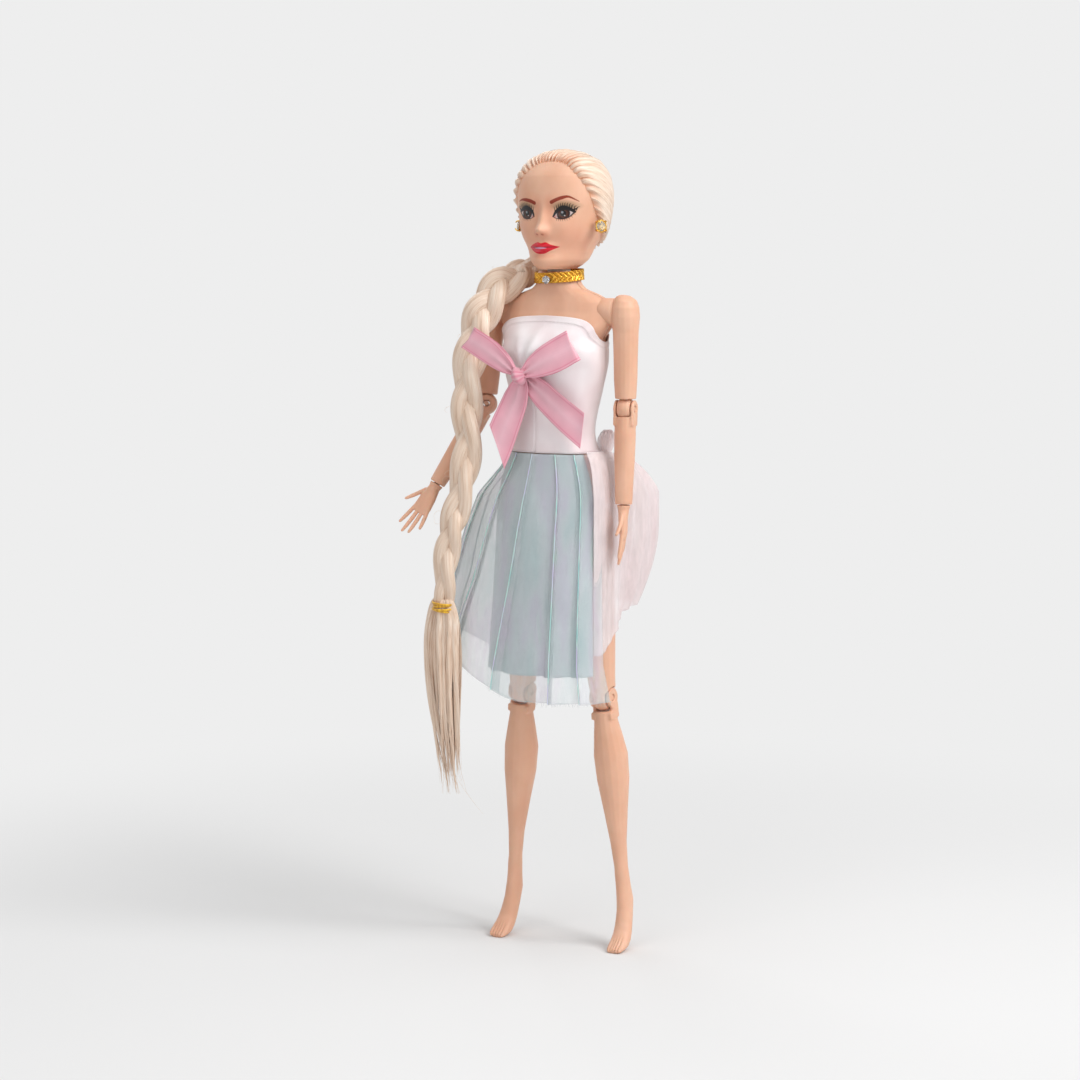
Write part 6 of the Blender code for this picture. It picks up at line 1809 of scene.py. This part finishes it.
# Drop share, how full the train is there, and how far its back part is gathered in again
TRAIN_FULL_SHARES = [
    (0.00, 0.03, 1.00), (0.06, 0.50, 1.00), (0.13, 0.74, 1.00), (0.20, 0.88, 1.00), (0.29, 1.00, 1.00),
    (0.55, 1.00, 1.00), (0.75, 1.00, 0.95), (0.92, 1.00, 0.86), (1.10, 1.00, 0.74), (1.30, 1.00, 0.70),
]


def train_place(u, v):
    """The cloth fans out from the waist to an oval plan and hangs in deep folds. Its front part is flatter."""
    first, last = TRAIN_PLAN_SHARES[0][0], TRAIN_PLAN_SHARES[-1][0]
    turn = first + (last - first) * u
    side, back, hang_share = between(TRAIN_PLAN_SHARES, turn)
    share = hang_share * v
    full, gather = between(TRAIN_FULL_SHARES, share)
    loose_part = min(1.0, max(0.0, (turn - LOOSE_TURN) / 0.06))
    gather = 1 - (1 - gather) * loose_part
    wave = math.cos(math.tau * (TRAIN_FOLDS / 2 * u + 0.10 * math.sin(7 * v + 9 * u)))
    small = math.sin(math.tau * (TRAIN_FOLDS * 1.3 * u + 0.15 * math.sin(11 * v))) * math.exp(-v / 0.3)
    fold = 1 + (0.25 + 0.75 * loose_part) * full * (1.15 * wave + 0.45 * small) * MM / TRAIN_REACH
    wide = Vector((side, back, 0)) * TRAIN_REACH * gather * fold
    waist = skirt_point(turn, 0, TRAIN_OFFSET) - PLACE
    place = Vector((waist.x, waist.y, 0)).lerp(wide, full)
    return PLACE + place + Vector((0, 0, TRAIN_TOP - TRAIN_LENGTH * share))


train = formed_grid("organza_train", 380, 120, train_place)
thicken(train, ORGANZA_THICKNESS)
finish_piece(train, pink_organza, "torso")
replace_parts(train, "back_train")
edge_pieces = []
for name, path in (("train_front_edge", [(0.0, i / 79) for i in range(80)]),
                   ("train_hem_edge", [(i / 239, 1.0) for i in range(240)]),
                   ("train_back_edge", [(1.0, i / 79) for i in range(80)])):
    places = [train_place(u, v) for u, v in path]
    edge_pieces.append(tube(name, places, EDGE_RADIUS, 6, lambda v: 1 + 0.22 * math.sin(v * 420)))
train_edge = join("overcast_edge", edge_pieces)
finish_piece(train_edge, pink_organza, "torso")

# %% Loop at the waist
WAIST_LOOP_TURN = 0.33
WAIST_LOOP_HEIGHT = 8.6 * MM
WAIST_LOOP_WIDTH = 6.4 * MM
WAIST_LOOP_HALF_DEPTH = 0.9 * MM
WAIST_LOOP_SUNK = 1.4 * MM
WAIST_LOOP_OUT = 0.3 * MM
WAIST_LOOP_RUFFLE = 0.6 * MM
WAIST_LOOP_THICKNESS = 0.10 * MM
WAIST_LOOP_FACES = math.tau * 0.17
# Height share, width share and how far it leans outwards, as a share of its height
WAIST_LOOP_SHARES = [(0, 0.55, 0), (0.3, 0.9, 0.03), (0.65, 1.0, 0.09), (0.9, 0.75, 0.12), (1, 0.45, 0.13)]
loop_waist = skirt_point(WAIST_LOOP_TURN, 0, TRAIN_OFFSET)
loop_foot = Vector((loop_waist.x, loop_waist.y, TRAIN_TOP - WAIST_LOOP_SUNK))
loop_out = Vector((math.sin(WAIST_LOOP_FACES), -math.cos(WAIST_LOOP_FACES), 0))
loop_across = Vector((loop_out.y, -loop_out.x, 0))


def loop_spot(u, v):
    s = 2 * u - 1
    rise = 1 - abs(2 * v - 1)
    wide, lean = between(WAIST_LOOP_SHARES, rise)
    layer = WAIST_LOOP_HALF_DEPTH * math.sqrt(max(0.0, 1 - rise**4)) * (1 if v < 0.5 else -1)
    ruffle = WAIST_LOOP_RUFFLE * math.sin(3 * math.pi * s + 4 * rise) * rise
    centre = loop_foot + Vector((0, 0, WAIST_LOOP_HEIGHT * rise)) + loop_out * WAIST_LOOP_HEIGHT * lean
    sideways = loop_across * WAIST_LOOP_WIDTH / 2 * wide * s
    return centre + sideways + loop_out * (layer + ruffle + WAIST_LOOP_OUT)


train_loop = formed_grid("waist_loop", 40, 90, loop_spot)
thicken(train_loop, WAIST_LOOP_THICKNESS)
finish_piece(train_loop, pink_organza, "torso")
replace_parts(train_loop, "train_ear")
